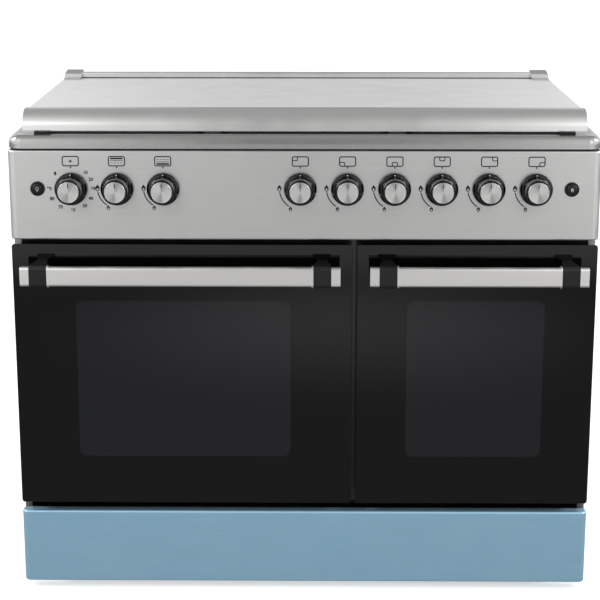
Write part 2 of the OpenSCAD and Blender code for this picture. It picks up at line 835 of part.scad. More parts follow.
// The three wells, one under each pan support, with a rib of sheet between neighbours
module wells(grow, z0) {
    reach = support_w / 2 + well_gap + grow;
    translate([0, 0, z0]) linear_extrude(rim_h) for (column = [-1:1])
        translate([column * support_pitch, 0])
            round_rect([-reach, reach], [field_y0 - grow, field_y1 + grow], well_r + grow);
}

function burner_x(b) = b[0] * support_pitch;
function burner_y(b) = b[1] == 0 ? front_row_y : rear_row_y;
function electrode_x(b) = burner_x(b) + (b[2] + 9) * cos(45);
function electrode_y(b) = burner_y(b) + (b[2] + 9) * sin(45);
module hob_top() {
    color("silver") difference() {
        rim_block(0);
        difference() {
            rim_block(sheet);
            wells(sheet, field_z - sheet);
        }
        wells(0, field_z);
        for (b = burners) {
            rod_z(burner_x(b), burner_y(b), [hob_z0, rim_z], b[2] - cup_gap + seat_gap);
            rod_z(electrode_x(b), electrode_y(b), [hob_z0, rim_z], electrode_r + seat_gap);
        }
    }
}

// A ring of teeth: the flame ports of a burner's crown
module crown_outline(r) {
    polygon([for (i = [0:flame_teeth - 1], k = [0:3])
        let (a = (i + [0, 0.55, 0.6, 0.95][k]) * 360 / flame_teeth, d = k < 2 ? r : r - 3)
        [d * cos(a), d * sin(a)]]);
}

module burner_heads() {
    color("lightslategray") for (b = burners) translate([burner_x(b), burner_y(b), field_z]) {
        translate([0, 0, -cup_h]) cylinder(h = cup_h + crown_z0, r = b[2] - cup_gap);
        cylinder(h = crown_z0, r = b[2] + 2);
        translate([0, 0, crown_z0]) linear_extrude(crown_z1 - crown_z0) crown_outline(b[2]);
    }
}

module burner_caps() {
    color("dimgray") for (b = burners) translate([burner_x(b), burner_y(b), field_z + crown_z1])
        rotate_extrude() polygon([[0, 0], [b[2] + 1, 0], [b[2] + 1, burner_cap_t - 3],
            [b[2] - 2, burner_cap_t], [0, burner_cap_t]]);
}

module spark_electrodes() {
    color("white") for (b = burners) {
        rod_z(electrode_x(b), electrode_y(b), [hob_z0 + 2, field_z + 12], electrode_r);
        rod_z(electrode_x(b), electrode_y(b), [field_z, field_z + 3], electrode_r + 2);
    }
}

// One finger of a pan support, from the frame at its foot to its inner end along +X
module finger(length) {
    rise = 14;
    base = support_foot;
    translate([0, finger_t / 2, 0]) rotate([90, 0, 0]) linear_extrude(finger_t) polygon([
        [-support_bar / 2, base], [0, base + 12], [rise, support_h], [length, support_h],
        [length, support_h - 8], [rise + 8, support_h - 10], [support_bar, base]]);
}

module pan_supports() {
    tip_gap = 20;
    corner_r = 28;
    lug = 12;
    bar_z = [field_z + support_foot, field_z + support_foot + 10];
    mid_y = support_y0 + support_d / 2;
    color("black") for (column = [-1:1]) {
        cx = column * support_pitch;
        x = [cx - support_w / 2, cx + support_w / 2];
        y = [support_y0, support_y0 + support_d];
        translate([0, 0, bar_z[0]]) linear_extrude(bar_z[1] - bar_z[0]) difference() {
            round_rect(x, y, corner_r);
            round_rect([x[0] + support_bar, x[1] - support_bar],
                [y[0] + support_bar, y[1] - support_bar], corner_r - support_bar);
        }
        span([x[0] + support_bar / 2, x[1] - support_bar / 2],
            [mid_y - support_bar / 2, mid_y + support_bar / 2], bar_z);
        for (row_y = [front_row_y, rear_row_y]) {
            side_length = support_w / 2 - support_bar / 2 - tip_gap;
            end_length = support_d / 4 - support_bar / 2 - tip_gap;
            translate([x[0] + support_bar / 2, row_y, field_z]) finger(side_length);
            translate([x[1] - support_bar / 2, row_y, field_z]) rotate([0, 0, 180]) finger(side_length);
            translate([cx, row_y - support_d / 4 + support_bar / 2, field_z]) rotate([0, 0, 90])
                finger(end_length);
            translate([cx, row_y + support_d / 4 - support_bar / 2, field_z]) rotate([0, 0, -90])
                finger(end_length);
        }
        for (foot = [[cx, y[0] + 6], [cx, y[1] - 6], [x[0] + 12, y[0] + 12], [x[1] - 12, y[0] + 12],
            [x[0] + 12, y[1] - 12], [x[1] - 12, y[1] - 12]])
            rod_z(foot[0], foot[1], [field_z, bar_z[0] + 1], 6);
        span([cx - lug / 2, cx + lug / 2], [y[0] - lug / 2, y[0] + support_bar / 2],
            [rim_z, lid_z0 - 1]);
    }
}

// Glass lid

// The front trim in section: a quarter round with a hem along its foot, and two lips that hold the glass
module trim_section() {
    difference() {
        intersection() {
            translate([trim_axis_y, lid_z0]) circle(trim_r);
            translate([trim_y0, lid_z0]) square(trim_r);
        }
        translate([trim_axis_y, lid_z0]) circle(trim_r - trim_wall);
    }
    translate([trim_y0 + hem_r - hem_out, lid_z0 + hem_r]) circle(hem_r, $fn = 24);
    translate([trim_axis_y - trim_wall, lid_glass_z0 - trim_wall])
        square([trim_wall + 0.5, lid_z1 - lid_glass_z0 + trim_wall]);
    translate([trim_axis_y - trim_wall, lid_glass_z1]) square([lip_w + trim_wall, lip_t]);
    translate([trim_axis_y - trim_wall, lid_glass_z0 - trim_wall]) square([lip_w + trim_wall, trim_wall]);
}

module lid_trim() {
    w = lid_half + trim_over;
    color("silver") {
        yz_extrude([-w, w]) trim_section();
        both_sides() yz_extrude([-w, -w + trim_wall]) intersection() {
            translate([trim_axis_y, lid_z0]) circle(trim_r);
            translate([trim_y0, lid_z0]) square(trim_r);
        }
    }
}

module lid_glass() {
    color("lightgray") span([-lid_half, lid_half], [trim_axis_y + 0.5, lid_glass_y1],
        [lid_glass_z0, lid_glass_z1]);
}

// A profile along the rear edge of the glass, in section: a head, and a foot that holds the glass
module lid_rear_rail() {
    y0 = pivot_y - rail_w;
    top_z = lid_z1 + rail_h;
    foot_z = lid_glass_z0 - trim_wall;
    round = 3;
    color("silver") yz_extrude([-clamp_x, clamp_x]) {
        round_rect([y0, pivot_y], [lid_glass_z1, top_z], round);
        translate([y0, lid_glass_z1]) square([rail_w, round]);
        translate([lid_glass_y1, foot_z]) square([pivot_y - lid_glass_y1, rail_h]);
        translate([lid_glass_y1 - trim_wall, foot_z]) square([2 * trim_wall, trim_wall]);
    }
}

// Each clamp grips the glass between its lip and its jaw, and its pin turns in a post on the hob
module lid_clamps() {
    lip_z = lid_z1 + clamp_lip_t;
    lip_y = pivot_y - clamp_lip;
    jaw_y = lid_glass_y1 - clamp_jaw;
    jaw_z = lid_glass_z0 - clamp_jaw_t;
    riser_y = pivot_y - clamp_riser;
    rear_y = pivot_y + clamp_rear;
    rear_z = lid_z1 + clamp_rear_h;
    base_z = pivot_z - clamp_drop;
    edge = 4;
    turn_r = hinge_lobe_r + 2 * slide_gap + 0.2;
    pocket = post_t / 2 + 0.4;
    mid = clamp_x + clamp_w / 2;
    color("lightgray") both_sides() {
        difference() {
            yz_extrude([clamp_x, clamp_x + clamp_w]) polygon([
                [lip_y, lid_glass_z1], [lid_glass_y1, lid_glass_z1],
                [lid_glass_y1, lid_glass_z0], [jaw_y, lid_glass_z0],
                [jaw_y, jaw_z], [pivot_y - clamp_rear, base_z], [rear_y, base_z],
                [rear_y, rear_z - edge], [rear_y - edge, rear_z], [riser_y + 1.5, lid_z1 + clamp_front_h],
                [riser_y, lip_z], [lip_y, lip_z]]);
            span([mid - pocket, mid + pocket], [pivot_y - turn_r, rear_y + 1],
                [base_z - 1, pivot_z + turn_r]);
        }
        rod_x([clamp_x + 1, clamp_x + clamp_w - 1], pivot_y, pivot_z, hinge_pin_r);
    }
}

module lid_hinge_posts() {
    mid = clamp_x + clamp_w / 2;
    x = [mid - post_t / 2, mid + post_t / 2];
    color("silver") both_sides() difference() {
        union() {
            span([clamp_x, clamp_x + clamp_w],
                [pivot_y + hinge_lobe_r - post_foot_d, pivot_y + hinge_lobe_r],
                [rim_z, rim_z + post_foot_h]);
            span(x, [pivot_y - hinge_lobe_r, pivot_y + hinge_lobe_r], [rim_z, pivot_z]);
            rod_x(x, pivot_y, pivot_z, hinge_lobe_r);
        }
        rod_x([x[0] - 1, x[1] + 1], pivot_y, pivot_z, hinge_pin_r + run_gap);
    }
}

// Gas train

// A pipe through points joined by straight runs along the axes
module pipe(points) {
    for (i = [0:len(points) - 2]) {
        a = points[i];
        b = points[i + 1];
        if (a[0] != b[0]) rod_x([min(a[0], b[0]), max(a[0], b[0])], a[1], a[2], pipe_r);
        if (a[1] != b[1]) rod_y(a[0], [min(a[1], b[1]), max(a[1], b[1])], a[2], pipe_r);
        if (a[2] != b[2]) rod_z(a[0], a[1], [min(a[2], b[2]), max(a[2], b[2])], pipe_r);
    }
    for (i = [1:len(points) - 2]) translate(points[i]) sphere(elbow_r);
}

// The feed pipes of the grill, the oven and the six burners
module gas_pipes() {
    pipe_z0 = knob_z + tap_r + tap_outlet_h + seat_gap;
    tails = [[grill_x, grill_tail_z], [oven_x, oven_tail_z]];
    color("darkgoldenrod") {
        for (i = [0:1]) {
            z = pipe_level_0 + i * pipe_step;
            x = tails[i][0];
            pipe([[x, tap_outlet_y, pipe_z0], [x, tap_outlet_y, z], [x, drop_y, z],
                [x, drop_y, tails[i][1]], [x, burner_tail_y, tails[i][1]]]);
        }
        for (i = [0:5]) {
            b = burners[i];
            z = pipe_level_0 + (i + 2) * pipe_step;
            run_y = pipe_run_y - i * pipe_run_step;
            x = burner_x(b) + (b[1] == 0 ? -8 : 8);
            pipe([[hob_knobs_x[i], tap_outlet_y, pipe_z0], [hob_knobs_x[i], tap_outlet_y, z],
                [hob_knobs_x[i], run_y, z], [x, run_y, z], [x, burner_y(b), z],
                [x, burner_y(b), field_z - cup_h]]);
        }
    }
}

// The manifold: a tube along the front, and a branch through the back panel to the thread outside
module gas_manifold() {
    nut_y = [back_y - sheet - inlet_nut_t, back_y - sheet];
    thread_y0 = back_y + 0.4;
    relief = 0.5;
    difference() {
        union() {
            rod_x([grill_x - 24, inlet_x], manifold_y, knob_z, manifold_r);
            translate([inlet_x, manifold_y, knob_z]) sphere(manifold_r + 1);
            rod_y(inlet_x, [manifold_y, thread_y0], knob_z, inlet_r - relief);
            rod_y(inlet_x, nut_y, knob_z, inlet_nut_r);
            rod_y(inlet_x, [thread_y0, back_y + inlet_out], knob_z, inlet_r);
        }
        rod_x([grill_x - 20, inlet_x], manifold_y, knob_z, inlet_bore_r);
        rod_y(inlet_x, [manifold_y, back_y + inlet_out + 1], knob_z, inlet_bore_r);
    }
}

// Each tap sits on the manifold in a saddle and guides its spindle in a blind bore
module gas_taps() {
    outlet_r = 5;
    color("goldenrod") {
        gas_manifold();
        for (x = gas_knobs_x) difference() {
            union() {
                rod_y(x, [tap_y0, manifold_y], knob_z, tap_r);
                rod_z(x, tap_outlet_y, [knob_z, knob_z + tap_r + tap_outlet_h], outlet_r);
            }
            rod_x([x - tap_r - 1, x + tap_r + 1], manifold_y, knob_z, manifold_r + seat_gap);
            rod_y(x, [tap_y0 - 1, spindle_end_y + push + 1], knob_z, spindle_r + run_gap);
        }
    }
}

// Timer movement, lamp switch, spark switch and spark generator
module control_units() {
    bezel_h = 2.5;
    timer_half = 24;
    timer_d = 34;
    switch_half = 13;
    switch_d = 24;
    generator_inset = 200;
    generator_w = 70;
    generator_d = 32;
    generator_h = 40;
    generator_x = half_w - generator_inset;
    color("dimgray") {
        span([timer_x - timer_half, timer_x + timer_half], [front_y + sheet, front_y + sheet + timer_d],
            [knob_z - timer_half, knob_z + timer_half]);
        rod_y(timer_x, [front_y - spindle_tip, front_y + sheet + 1], knob_z, timer_shaft_r);
        for (x = [-button_x, button_x]) difference() {
            union() {
                rod_y(x, [front_y - bezel_h, front_y], knob_z, bezel_r);
                rod_y(x, [front_y - bezel_h / 2, front_y + sheet + 1], knob_z, bezel_neck_r);
                span([x - switch_half, x + switch_half], [front_y + sheet, front_y + sheet + switch_d],
                    [knob_z - switch_half, knob_z + switch_half]);
            }
            rod_y(x, [front_y - bezel_h - 1, button_end_y + push + 1], knob_z, button_r + run_gap);
        }
        span([generator_x, generator_x + generator_w], [back_y - sheet - generator_d, back_y - sheet],
            [knob_z - generator_h, knob_z]);
    }
}

module button(x) {
    dome = 1.5;
    rod_y(x, [front_y - button_out + dome, button_end_y], knob_z, button_r);
    translate([x, front_y - button_out + dome, knob_z]) rotate([90, 0, 0])
        cylinder(h = dome, r1 = button_r, r2 = button_r - 2);
}

module lamp_button() { color("black") button(-button_x); }
module spark_button() { color("black") button(button_x); }

// A knob in two pieces: skirt, groove and tapered grip on a blind bore, and a metal cap on its face
module knob(x, bore_r) {
    face_h = knob_out - cap_t - seat_gap;
    groove_r = skirt_r - 5.5;
    translate([x, front_y, knob_z]) rotate([90, 0, 0]) {
        difference() {
            rotate_extrude() polygon([[0, knob_lift], [skirt_r, knob_lift], [skirt_r, knob_lift + 2],
                [skirt_r - 2, knob_lift + 5], [groove_r, knob_lift + 5.5], [groove_r, knob_lift + 7],
                [groove_r + 1.5, knob_lift + 8], [cap_r + 2.4, face_h - 2], [cap_r + 1, face_h],
                [0, face_h]]);
            translate([0, 0, knob_lift - 1])
                cylinder(h = spindle_tip + slide_gap - knob_lift + 1, r = bore_r);
        }
        translate([0, 0, knob_out - cap_t]) cylinder(h = cap_t, r = cap_r);
    }
}

module gas_knob(x) { color("black") knob(x, spindle_r + run_gap); }

module spindle(x) {
    color("silver") rod_y(x, [front_y - spindle_tip, spindle_end_y], knob_z, spindle_r);
}

module timer_knob() { color("black") knob(timer_x, timer_shaft_r + run_gap); }
module knob_grill() { gas_knob(grill_x); }
module knob_oven() { gas_knob(oven_x); }
module spindle_grill() { spindle(grill_x); }
module spindle_oven() { spindle(oven_x); }

// The mains lead's gland in the back panel, with its inner nut
module cable_gland() {
    lead_r = 4;
    flange_r = gland_r + 4;
    flange_t = 4;
    nut_t = 6;
    y = [back_y - sheet - nut_t, back_y + 12];
    color("black") difference() {
        union() {
            rod_y(gland_x, y, gland_z, gland_r);
            rod_y(gland_x, [back_y, back_y + flange_t], gland_z, flange_r);
            rod_y(gland_x, [y[0], back_y - sheet], gland_z, flange_r);
        }
        rod_y(gland_x, [y[0] - 1, y[1] + 1], gland_z, lead_r);
    }
}

side_panels();
back_panel();
base_pan();
deck_plate();
front_frame();
control_panel();
hob_top();
levelling_feet();
oven_liner();
oven_insulation();
oven_burners();
oven_rack();
oven_lamp();
cabinet_liner();
pan_supports();
burner_heads();
burner_caps();
spark_electrodes();
gas_pipes();
gas_taps();
control_units();
rubber_seals();
door_hinge_brackets();
lid_hinge_posts();
cable_gland();
lid_glass();
lid_trim();
lid_rear_rail();
lid_clamps();
oven_door_glass();
oven_door_frame();
oven_door_inner_glass();
oven_handle_bar();
oven_handle_brackets();
cabinet_door_glass();
cabinet_door_frame();
cabinet_door_inner_glass();
cabinet_handle_bar();
cabinet_handle_brackets();
drawer_face();
drawer_box();
lamp_button();
spark_button();
timer_knob();
knob_grill();
knob_oven();
gas_knob(hob_knobs_x[0]);  // knob_1
gas_knob(hob_knobs_x[1]);  // knob_2
gas_knob(hob_knobs_x[2]);  // knob_3
gas_knob(hob_knobs_x[3]);  // knob_4
gas_knob(hob_knobs_x[4]);  // knob_5
gas_knob(hob_knobs_x[5]);  // knob_6
spindle_grill();
spindle_oven();
spindle(hob_knobs_x[0]);  // spindle_1
spindle(hob_knobs_x[1]);  // spindle_2
spindle(hob_knobs_x[2]);  // spindle_3
spindle(hob_knobs_x[3]);  // spindle_4
spindle(hob_knobs_x[4]);  // spindle_5
spindle(hob_knobs_x[5]);  // spindle_6
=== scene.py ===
# %% [markdown]
# A wide gas cooker for the kitchen: steel hob under a glass lid, a steel panel with nine knobs,
# two black glass doors and a drawer front of blue-filmed steel. The construction comes ready made
# as a fixed frame, and this lesson dresses it: some pieces keep their shape and only get a finish,
# and others get a finer shape that stands in the same place.

# %% Load the frame
import math

import bmesh
import bpy
from mathutils import Matrix, Vector


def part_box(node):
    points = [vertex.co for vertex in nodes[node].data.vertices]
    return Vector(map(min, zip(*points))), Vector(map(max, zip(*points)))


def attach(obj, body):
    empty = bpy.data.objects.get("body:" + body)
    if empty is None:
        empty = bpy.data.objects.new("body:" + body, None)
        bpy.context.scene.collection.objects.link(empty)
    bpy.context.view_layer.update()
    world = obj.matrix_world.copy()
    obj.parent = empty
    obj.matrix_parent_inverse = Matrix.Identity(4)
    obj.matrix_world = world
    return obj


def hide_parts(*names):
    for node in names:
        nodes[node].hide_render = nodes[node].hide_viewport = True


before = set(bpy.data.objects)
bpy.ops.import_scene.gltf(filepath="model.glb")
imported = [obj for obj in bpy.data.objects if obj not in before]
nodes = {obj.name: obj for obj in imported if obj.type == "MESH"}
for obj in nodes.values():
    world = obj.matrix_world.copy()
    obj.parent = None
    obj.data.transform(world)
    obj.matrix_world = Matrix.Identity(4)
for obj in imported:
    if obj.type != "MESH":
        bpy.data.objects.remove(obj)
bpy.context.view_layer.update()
MM = 0.001

# %% [markdown]
# The photograph was taken from a little above the hob with a long lens, so that the sides of
# the cooker hardly show. A camera could be aimed by eye. Here its place and tilt were worked out
# from the edges of the panel and the drawer, and are written as real sizes.

# %% Camera
EYE = Vector((19.7, -3045.6, 1241.56)) * MM
TILT_DOWN = math.radians(14.199)
TURN = math.radians(0.554)
camera = bpy.data.objects.new("camera", bpy.data.cameras.new("camera"))
camera.data.sensor_width = 36
camera.data.lens = 101.1
camera.location = EYE
camera.rotation_euler = (math.radians(90) - TILT_DOWN, 0, TURN)
bpy.context.scene.collection.objects.link(camera)
bpy.context.scene.camera = camera
bpy.context.scene.view_settings.view_transform = "Standard"
print("camera at", [round(v, 3) for v in EYE])

# %% [markdown]
# Materials are built from shader nodes. One small function adds a node with its settings and
# links, and one turns a given sRGB colour into the linear colour that a shader needs.

# %% Colour and node helpers
def linear(code, share=1.0):
    """An sRGB colour such as #7da0b4 as linear red, green, blue and alpha, times a share."""
    channels = [int(code[i:i + 2], 16) / 255 for i in (1, 3, 5)]
    flat = [c / 12.92 if c <= 0.04045 else ((c + 0.055) / 1.055) ** 2.4 for c in channels]
    return [min(1.0, c * share) for c in flat] + [1.0]


def add(tree, kind, settings=None, **sockets):
    """Adds a node. A socket is named with _ for a space, or i and its number. Its value is a number,
    a list, a node whose first output is linked, or one output."""
    node = tree.nodes.new(kind)
    for name, value in (settings or {}).items():
        setattr(node, name, value)
    for name, value in sockets.items():
        key = int(name[1:]) if name[1:].isdigit() else name.replace("_", " ")
        if isinstance(value, bpy.types.Node):
            value = value.outputs[0]
        if isinstance(value, bpy.types.NodeSocket):
            tree.links.new(value, node.inputs[key])
        else:
            node.inputs[key].default_value = value
    return node


def new_material(name, **sockets):
    """A material with one Principled shader. Returns the material, its tree and the shader."""
    material = bpy.data.materials.new(name)
    material.use_nodes = True
    tree = material.node_tree
    shader = tree.nodes["Principled BSDF"]
    for socket, value in sockets.items():
        shader.inputs[socket.replace("_", " ")].default_value = value
    return material, tree, shader


RGBA = {"data_type": "RGBA"}
SMOOTH = {"interpolation_type": "SMOOTHSTEP"}
print("steel grey in linear light:", [round(c, 3) for c in linear("#b4b4b4")[:3]])

# %% [markdown]
# The studio is what polished metal shows. Overhead it is dim, and left and right of the cooker
# stand white screens. The gap between them, where the camera stands, is darker. The trim of the
# lid and the rim of the hob are round, so they show all of it: grey above, white below at both
# ends, and duller in the middle. The camera itself sees plain white.

# %% Sky with two screens
OVERHEAD, GAP, SCREEN = 0.42, 0.18, 1.35
GAP_FROM, GAP_TO = 0.04, 0.20
SCREEN_TILT, FADE_FROM, FADE_TO = 0.6, 0.2, 1.2
sky = bpy.data.worlds.new("studio_sky")
sky.use_nodes = True
tree = sky.node_tree
direction = add(tree, "ShaderNodeTexCoord").outputs["Generated"]
parts = add(tree, "ShaderNodeSeparateXYZ", Vector=direction)
aside = add(tree, "ShaderNodeMath", {"operation": "ABSOLUTE"}, i0=parts.outputs["X"])
screens = add(tree, "ShaderNodeMapRange", SMOOTH, i0=aside, i1=GAP_FROM, i2=GAP_TO, i3=GAP, i4=SCREEN)
# The screens fade out upwards. They stand in front, so their fading edge is a tilted plane
tilted = add(tree, "ShaderNodeMath", {"operation": "MULTIPLY_ADD"}, i0=parts.outputs["Y"],
             i1=SCREEN_TILT, i2=parts.outputs["Z"])
above = add(tree, "ShaderNodeMapRange", SMOOTH, i0=tilted, i1=FADE_FROM, i2=FADE_TO, i3=0.0, i4=1.0)
glow = add(tree, "ShaderNodeMix", i0=above, i2=screens, i3=OVERHEAD)
path = add(tree, "ShaderNodeLightPath")
shown = add(tree, "ShaderNodeMix", i0=path.outputs["Is Camera Ray"], i2=glow, i3=1.0)
tree.links.new(shown.outputs[0], tree.nodes["Background"].inputs["Strength"])
tree.nodes["Background"].inputs["Color"].default_value = [1, 1, 1, 1]
bpy.context.scene.world = sky
print("sky from", OVERHEAD, "overhead to", SCREEN, "on the screens")

# %% [markdown]
# The floor is pale paint that takes the cooker's shadow. It could be made white with more light,
# but then the steel and the blue drawer would bleach. So a glow is added that only the camera and
# glass see. What the cooker's own surfaces mirror is the floor in front, and there glossy rays see
# no lit floor but a painted glow: dim near by, with a painted pool of light in the middle that the
# doors show, and brighter some metres off, where the panel looks. The rim of the hob and the trim
# of the lid look farther yet, where the painted glow is dim in the middle and bright on both sides,
# like the screens above it.

# %% Floor
FLOOR_HALF = 30.0
FLOOR_GLOW = 0.55
FAR, FAR_SIDES, NEAR, POOL = 0.90, 1.05, 0.30, 0.5
HORIZON, HORIZON_SIDES = 0.12, 1.8
NEAR_TO, FAR_FROM, FAR_TO, HORIZON_FROM = -2.5, -3.0, -4.9, -5.9
FAR_MIDDLE, FAR_SIDE, HORIZON_MIDDLE, HORIZON_SIDE = 0.7, 1.5, 0.8, 1.9
POOL_PLACE, POOL_R = (0.1, -2.1, 0.0), 0.9
floor_mesh = bpy.data.meshes.new("floor")
corners = [(-1, -1), (1, -1), (1, 1), (-1, 1)]
floor_mesh.from_pydata([(x * FLOOR_HALF, y * FLOOR_HALF, 0) for x, y in corners], [], [(0, 1, 2, 3)])
floor = bpy.data.objects.new("floor", floor_mesh)
bpy.context.scene.collection.objects.link(floor)
floor_paint, tree, shader = new_material("floor_paint", Base_Color=linear("#dcdcdc"), Roughness=0.9,
                                         Specular_IOR_Level=0.1, Emission_Color=[1, 1, 1, 1])
path = add(tree, "ShaderNodeLightPath")
direct = add(tree, "ShaderNodeMath", {"operation": "MAXIMUM"}, i0=path.outputs["Is Camera Ray"],
             i1=path.outputs["Is Transmission Ray"])
glow = add(tree, "ShaderNodeMath", {"operation": "MULTIPLY"}, i0=direct, i1=FLOOR_GLOW)
tree.links.new(glow.outputs[0], shader.inputs["Emission Strength"])

# Painted reflection: glossy rays see a painted glow here instead of the lit floor, in bands and a pool.
ground = add(tree, "ShaderNodeTexCoord").outputs["Object"]
parts = add(tree, "ShaderNodeSeparateXYZ", Vector=ground)
aside = add(tree, "ShaderNodeMath", {"operation": "ABSOLUTE"}, i0=parts.outputs["X"])
band = add(tree, "ShaderNodeMapRange", SMOOTH, i0=aside, i1=FAR_MIDDLE, i2=FAR_SIDE, i3=FAR,
           i4=FAR_SIDES)
remote = add(tree, "ShaderNodeMapRange", SMOOTH, i0=parts.outputs["Y"], i1=HORIZON_FROM, i2=FAR_TO,
             i3=0.0, i4=1.0)
horizon = add(tree, "ShaderNodeMapRange", SMOOTH, i0=aside, i1=HORIZON_MIDDLE, i2=HORIZON_SIDE,
              i3=HORIZON, i4=HORIZON_SIDES)
distant = add(tree, "ShaderNodeMix", i0=remote, i2=horizon, i3=band)
# A painted pool of light in the middle of the floor, which the doors mirror.
from_pool = add(tree, "ShaderNodeVectorMath", {"operation": "DISTANCE"}, i0=ground, i1=POOL_PLACE)
close = add(tree, "ShaderNodeMapRange", SMOOTH, i0=from_pool.outputs["Value"], i1=0.0, i2=POOL_R,
            i3=NEAR + POOL, i4=NEAR)
away = add(tree, "ShaderNodeMapRange", SMOOTH, i0=parts.outputs["Y"], i1=FAR_FROM, i2=NEAR_TO,
           i3=0.0, i4=1.0)
tone = add(tree, "ShaderNodeMix", i0=away, i2=distant, i3=close)
# Painted light: the glow that glossy rays see in place of the lit floor.
painted_floor_glow = add(tree, "ShaderNodeEmission", Strength=tone)
either = add(tree, "ShaderNodeMixShader", i0=path.outputs["Is Glossy Ray"], i1=shader, i2=painted_floor_glow)
tree.links.new(either.outputs[0], tree.nodes["Material Output"].inputs["Surface"])
floor_paint.cycles.emission_sampling = "NONE"
floor.data.materials.append(floor_paint)
print("floor", 2 * FLOOR_HALF, "m wide")

# %% [markdown]
# Two small soft boxes stand high on both sides of the camera and give the turned caps their
# bright wedges. Two tall strips stand far out beside the cooker. Only edges that face sideways
# and up mirror them, so every black knob gets a thin crescent at its upper left and right.

# %% Lamps
def soft_box(name, place, size, watts, target=(0, -0.3, 0.7)):
    """A rectangular studio lamp that points at a target, which is the middle of the panel."""
    light = bpy.data.lights.new(name, "AREA")
    light.shape = "RECTANGLE"
    light.size, light.size_y = size
    light.energy = watts
    lamp = bpy.data.objects.new(name, light)
    lamp.location = place
    lamp.rotation_euler = (Vector(target) - Vector(place)).to_track_quat("-Z", "Y").to_euler()
    bpy.context.scene.collection.objects.link(lamp)
    print(name, watts, "W at", place)


soft_box("left_box", (-1.3, -2.3, 2.3), (0.35, 0.35), 5)
soft_box("right_box", (1.4, -2.3, 2.2), (0.35, 0.35), 5)
soft_box("left_strip", (-3.2, -0.40, 2.7), (0.5, 1.3), 60)
soft_box("right_strip", (3.2, -0.40, 2.6), (0.5, 1.3), 54)

# %% [markdown]
# Each finish below is a family: the same steel is brushed along its length on the panel and the
# hob, the same plastic is moulded into knobs and feet. A family is a function of a colour and the
# sizes of its grain, so that the pieces look related, as they do on one product.

# %% [markdown]
# Brushed stainless steel: the belt leaves fine parallel scratches about 0.1 mm apart. At this
# distance they would melt into grey, so they are drawn about a millimetre wide and 120 mm long.
# Scratches spread a reflection across them and keep it sharp along them. An anisotropic shader does
# that: its tangent lies along the brushing, and a quarter turn lays the spread across it.

# %% Brushed metals
def brushed_metal(name, code, along="X", roughness=0.32, streak_mm=1.1, length_mm=120.0, contrast=0.04,
                  spread=0.6):
    """A metal brushed along one axis. Spread is how much its reflection widens across it."""
    material, tree, shader = new_material(name, Metallic=1.0, Anisotropic=spread,
                                          Anisotropic_Rotation=0.25)
    axis = add(tree, "ShaderNodeCombineXYZ", **{a: 1.0 if a == along else 0.0 for a in "XYZ"})
    tree.links.new(axis.outputs[0], shader.inputs["Tangent"])
    place = add(tree, "ShaderNodeTexCoord").outputs["Object"]
    size = [length_mm if a == along else streak_mm for a in "XYZ"]
    drawn = add(tree, "ShaderNodeMapping", Vector=place, Scale=[1 / (s * MM) for s in size])
    streaks = add(tree, "ShaderNodeTexNoise", Vector=drawn, Scale=1.0, Detail=3.0, Roughness=0.6)
    cloud = add(tree, "ShaderNodeTexNoise", Vector=place, Scale=1 / (70 * MM), Detail=2.0)
    tone = add(tree, "ShaderNodeMapRange", i0=streaks, i1=0.3, i2=0.7)
    colour = add(tree, "ShaderNodeMix", RGBA, i0=tone, i6=linear(code, 1 - contrast),
                 i7=linear(code, 1 + contrast))
    tree.links.new(colour.outputs[2], shader.inputs["Base Color"])
    rough = add(tree, "ShaderNodeMapRange", i0=cloud, i1=0.3, i2=0.7, i3=roughness * 0.92,
                i4=roughness * 1.1)
    tree.links.new(rough.outputs[0], shader.inputs["Roughness"])
    relief = add(tree, "ShaderNodeBump", Height=streaks, Distance=0.02 * MM, Strength=0.4)
    tree.links.new(relief.outputs[0], shader.inputs["Normal"])
    return material


panel_steel = brushed_metal("stainless_steel_brushed_panel", "#d0d0cf", "X", 0.36)
hob_steel = brushed_metal("stainless_steel_brushed_hob", "#acacab", "X", 0.20, contrast=0.03, spread=0.4)
trim_steel = brushed_metal("stainless_steel_satin_trim", "#e0e0df", "X", 0.24, 0.8, 200.0, 0.02, 0.0)
side_steel = brushed_metal("stainless_steel_brushed_sides", "#b2b2b1", "Z", 0.38)
handle_metal = brushed_metal("aluminium_brushed_handle", "#e9e8e6", "X", 0.30, 0.7, 160.0, 0.02)
hinge_metal = brushed_metal("zinc_plated_steel", "#a8a9aa", "Z", 0.30, 0.8, 30.0, 0.05)
print("brushed metals:", len([m for m in bpy.data.materials if "brushed" in m.name]))

# %% [markdown]
# Under the edge of the lid lies a narrow land of the hob, between its round rim and its wells. It
# is left satin: there the steel scatters the light that comes in under the lid.

# %% Satin land of the hob
LAND_FROM, LAND_TO = 11.0, 27.0
LAND_SHINE, RIM_SHINE = 0.2, 0.85
low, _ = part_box("hob_top")
tree = hob_steel.node_tree
parts = add(tree, "ShaderNodeSeparateXYZ", Vector=add(tree, "ShaderNodeTexCoord").outputs["Object"])
on_land = add(tree, "ShaderNodeMath", {"operation": "COMPARE"}, i0=parts.outputs["Y"],
              i1=low[1] + (LAND_FROM + LAND_TO) / 2 * MM, i2=(LAND_TO - LAND_FROM) / 2 * MM)
shine = add(tree, "ShaderNodeMix", i0=on_land, i2=RIM_SHINE, i3=LAND_SHINE)
tree.links.new(shine.outputs[0], tree.nodes["Principled BSDF"].inputs["Metallic"])
print("satin land", LAND_TO - LAND_FROM, "mm deep")

# %% [markdown]
# Blue protective film on brushed steel: the drawer front is steel that still wears its factory
# film. The film tints the metal blue and softens its shine, and the brushing shows through.
# A thin coat over a blue-tinted metal gives both the tint and the faint gloss of the plastic.

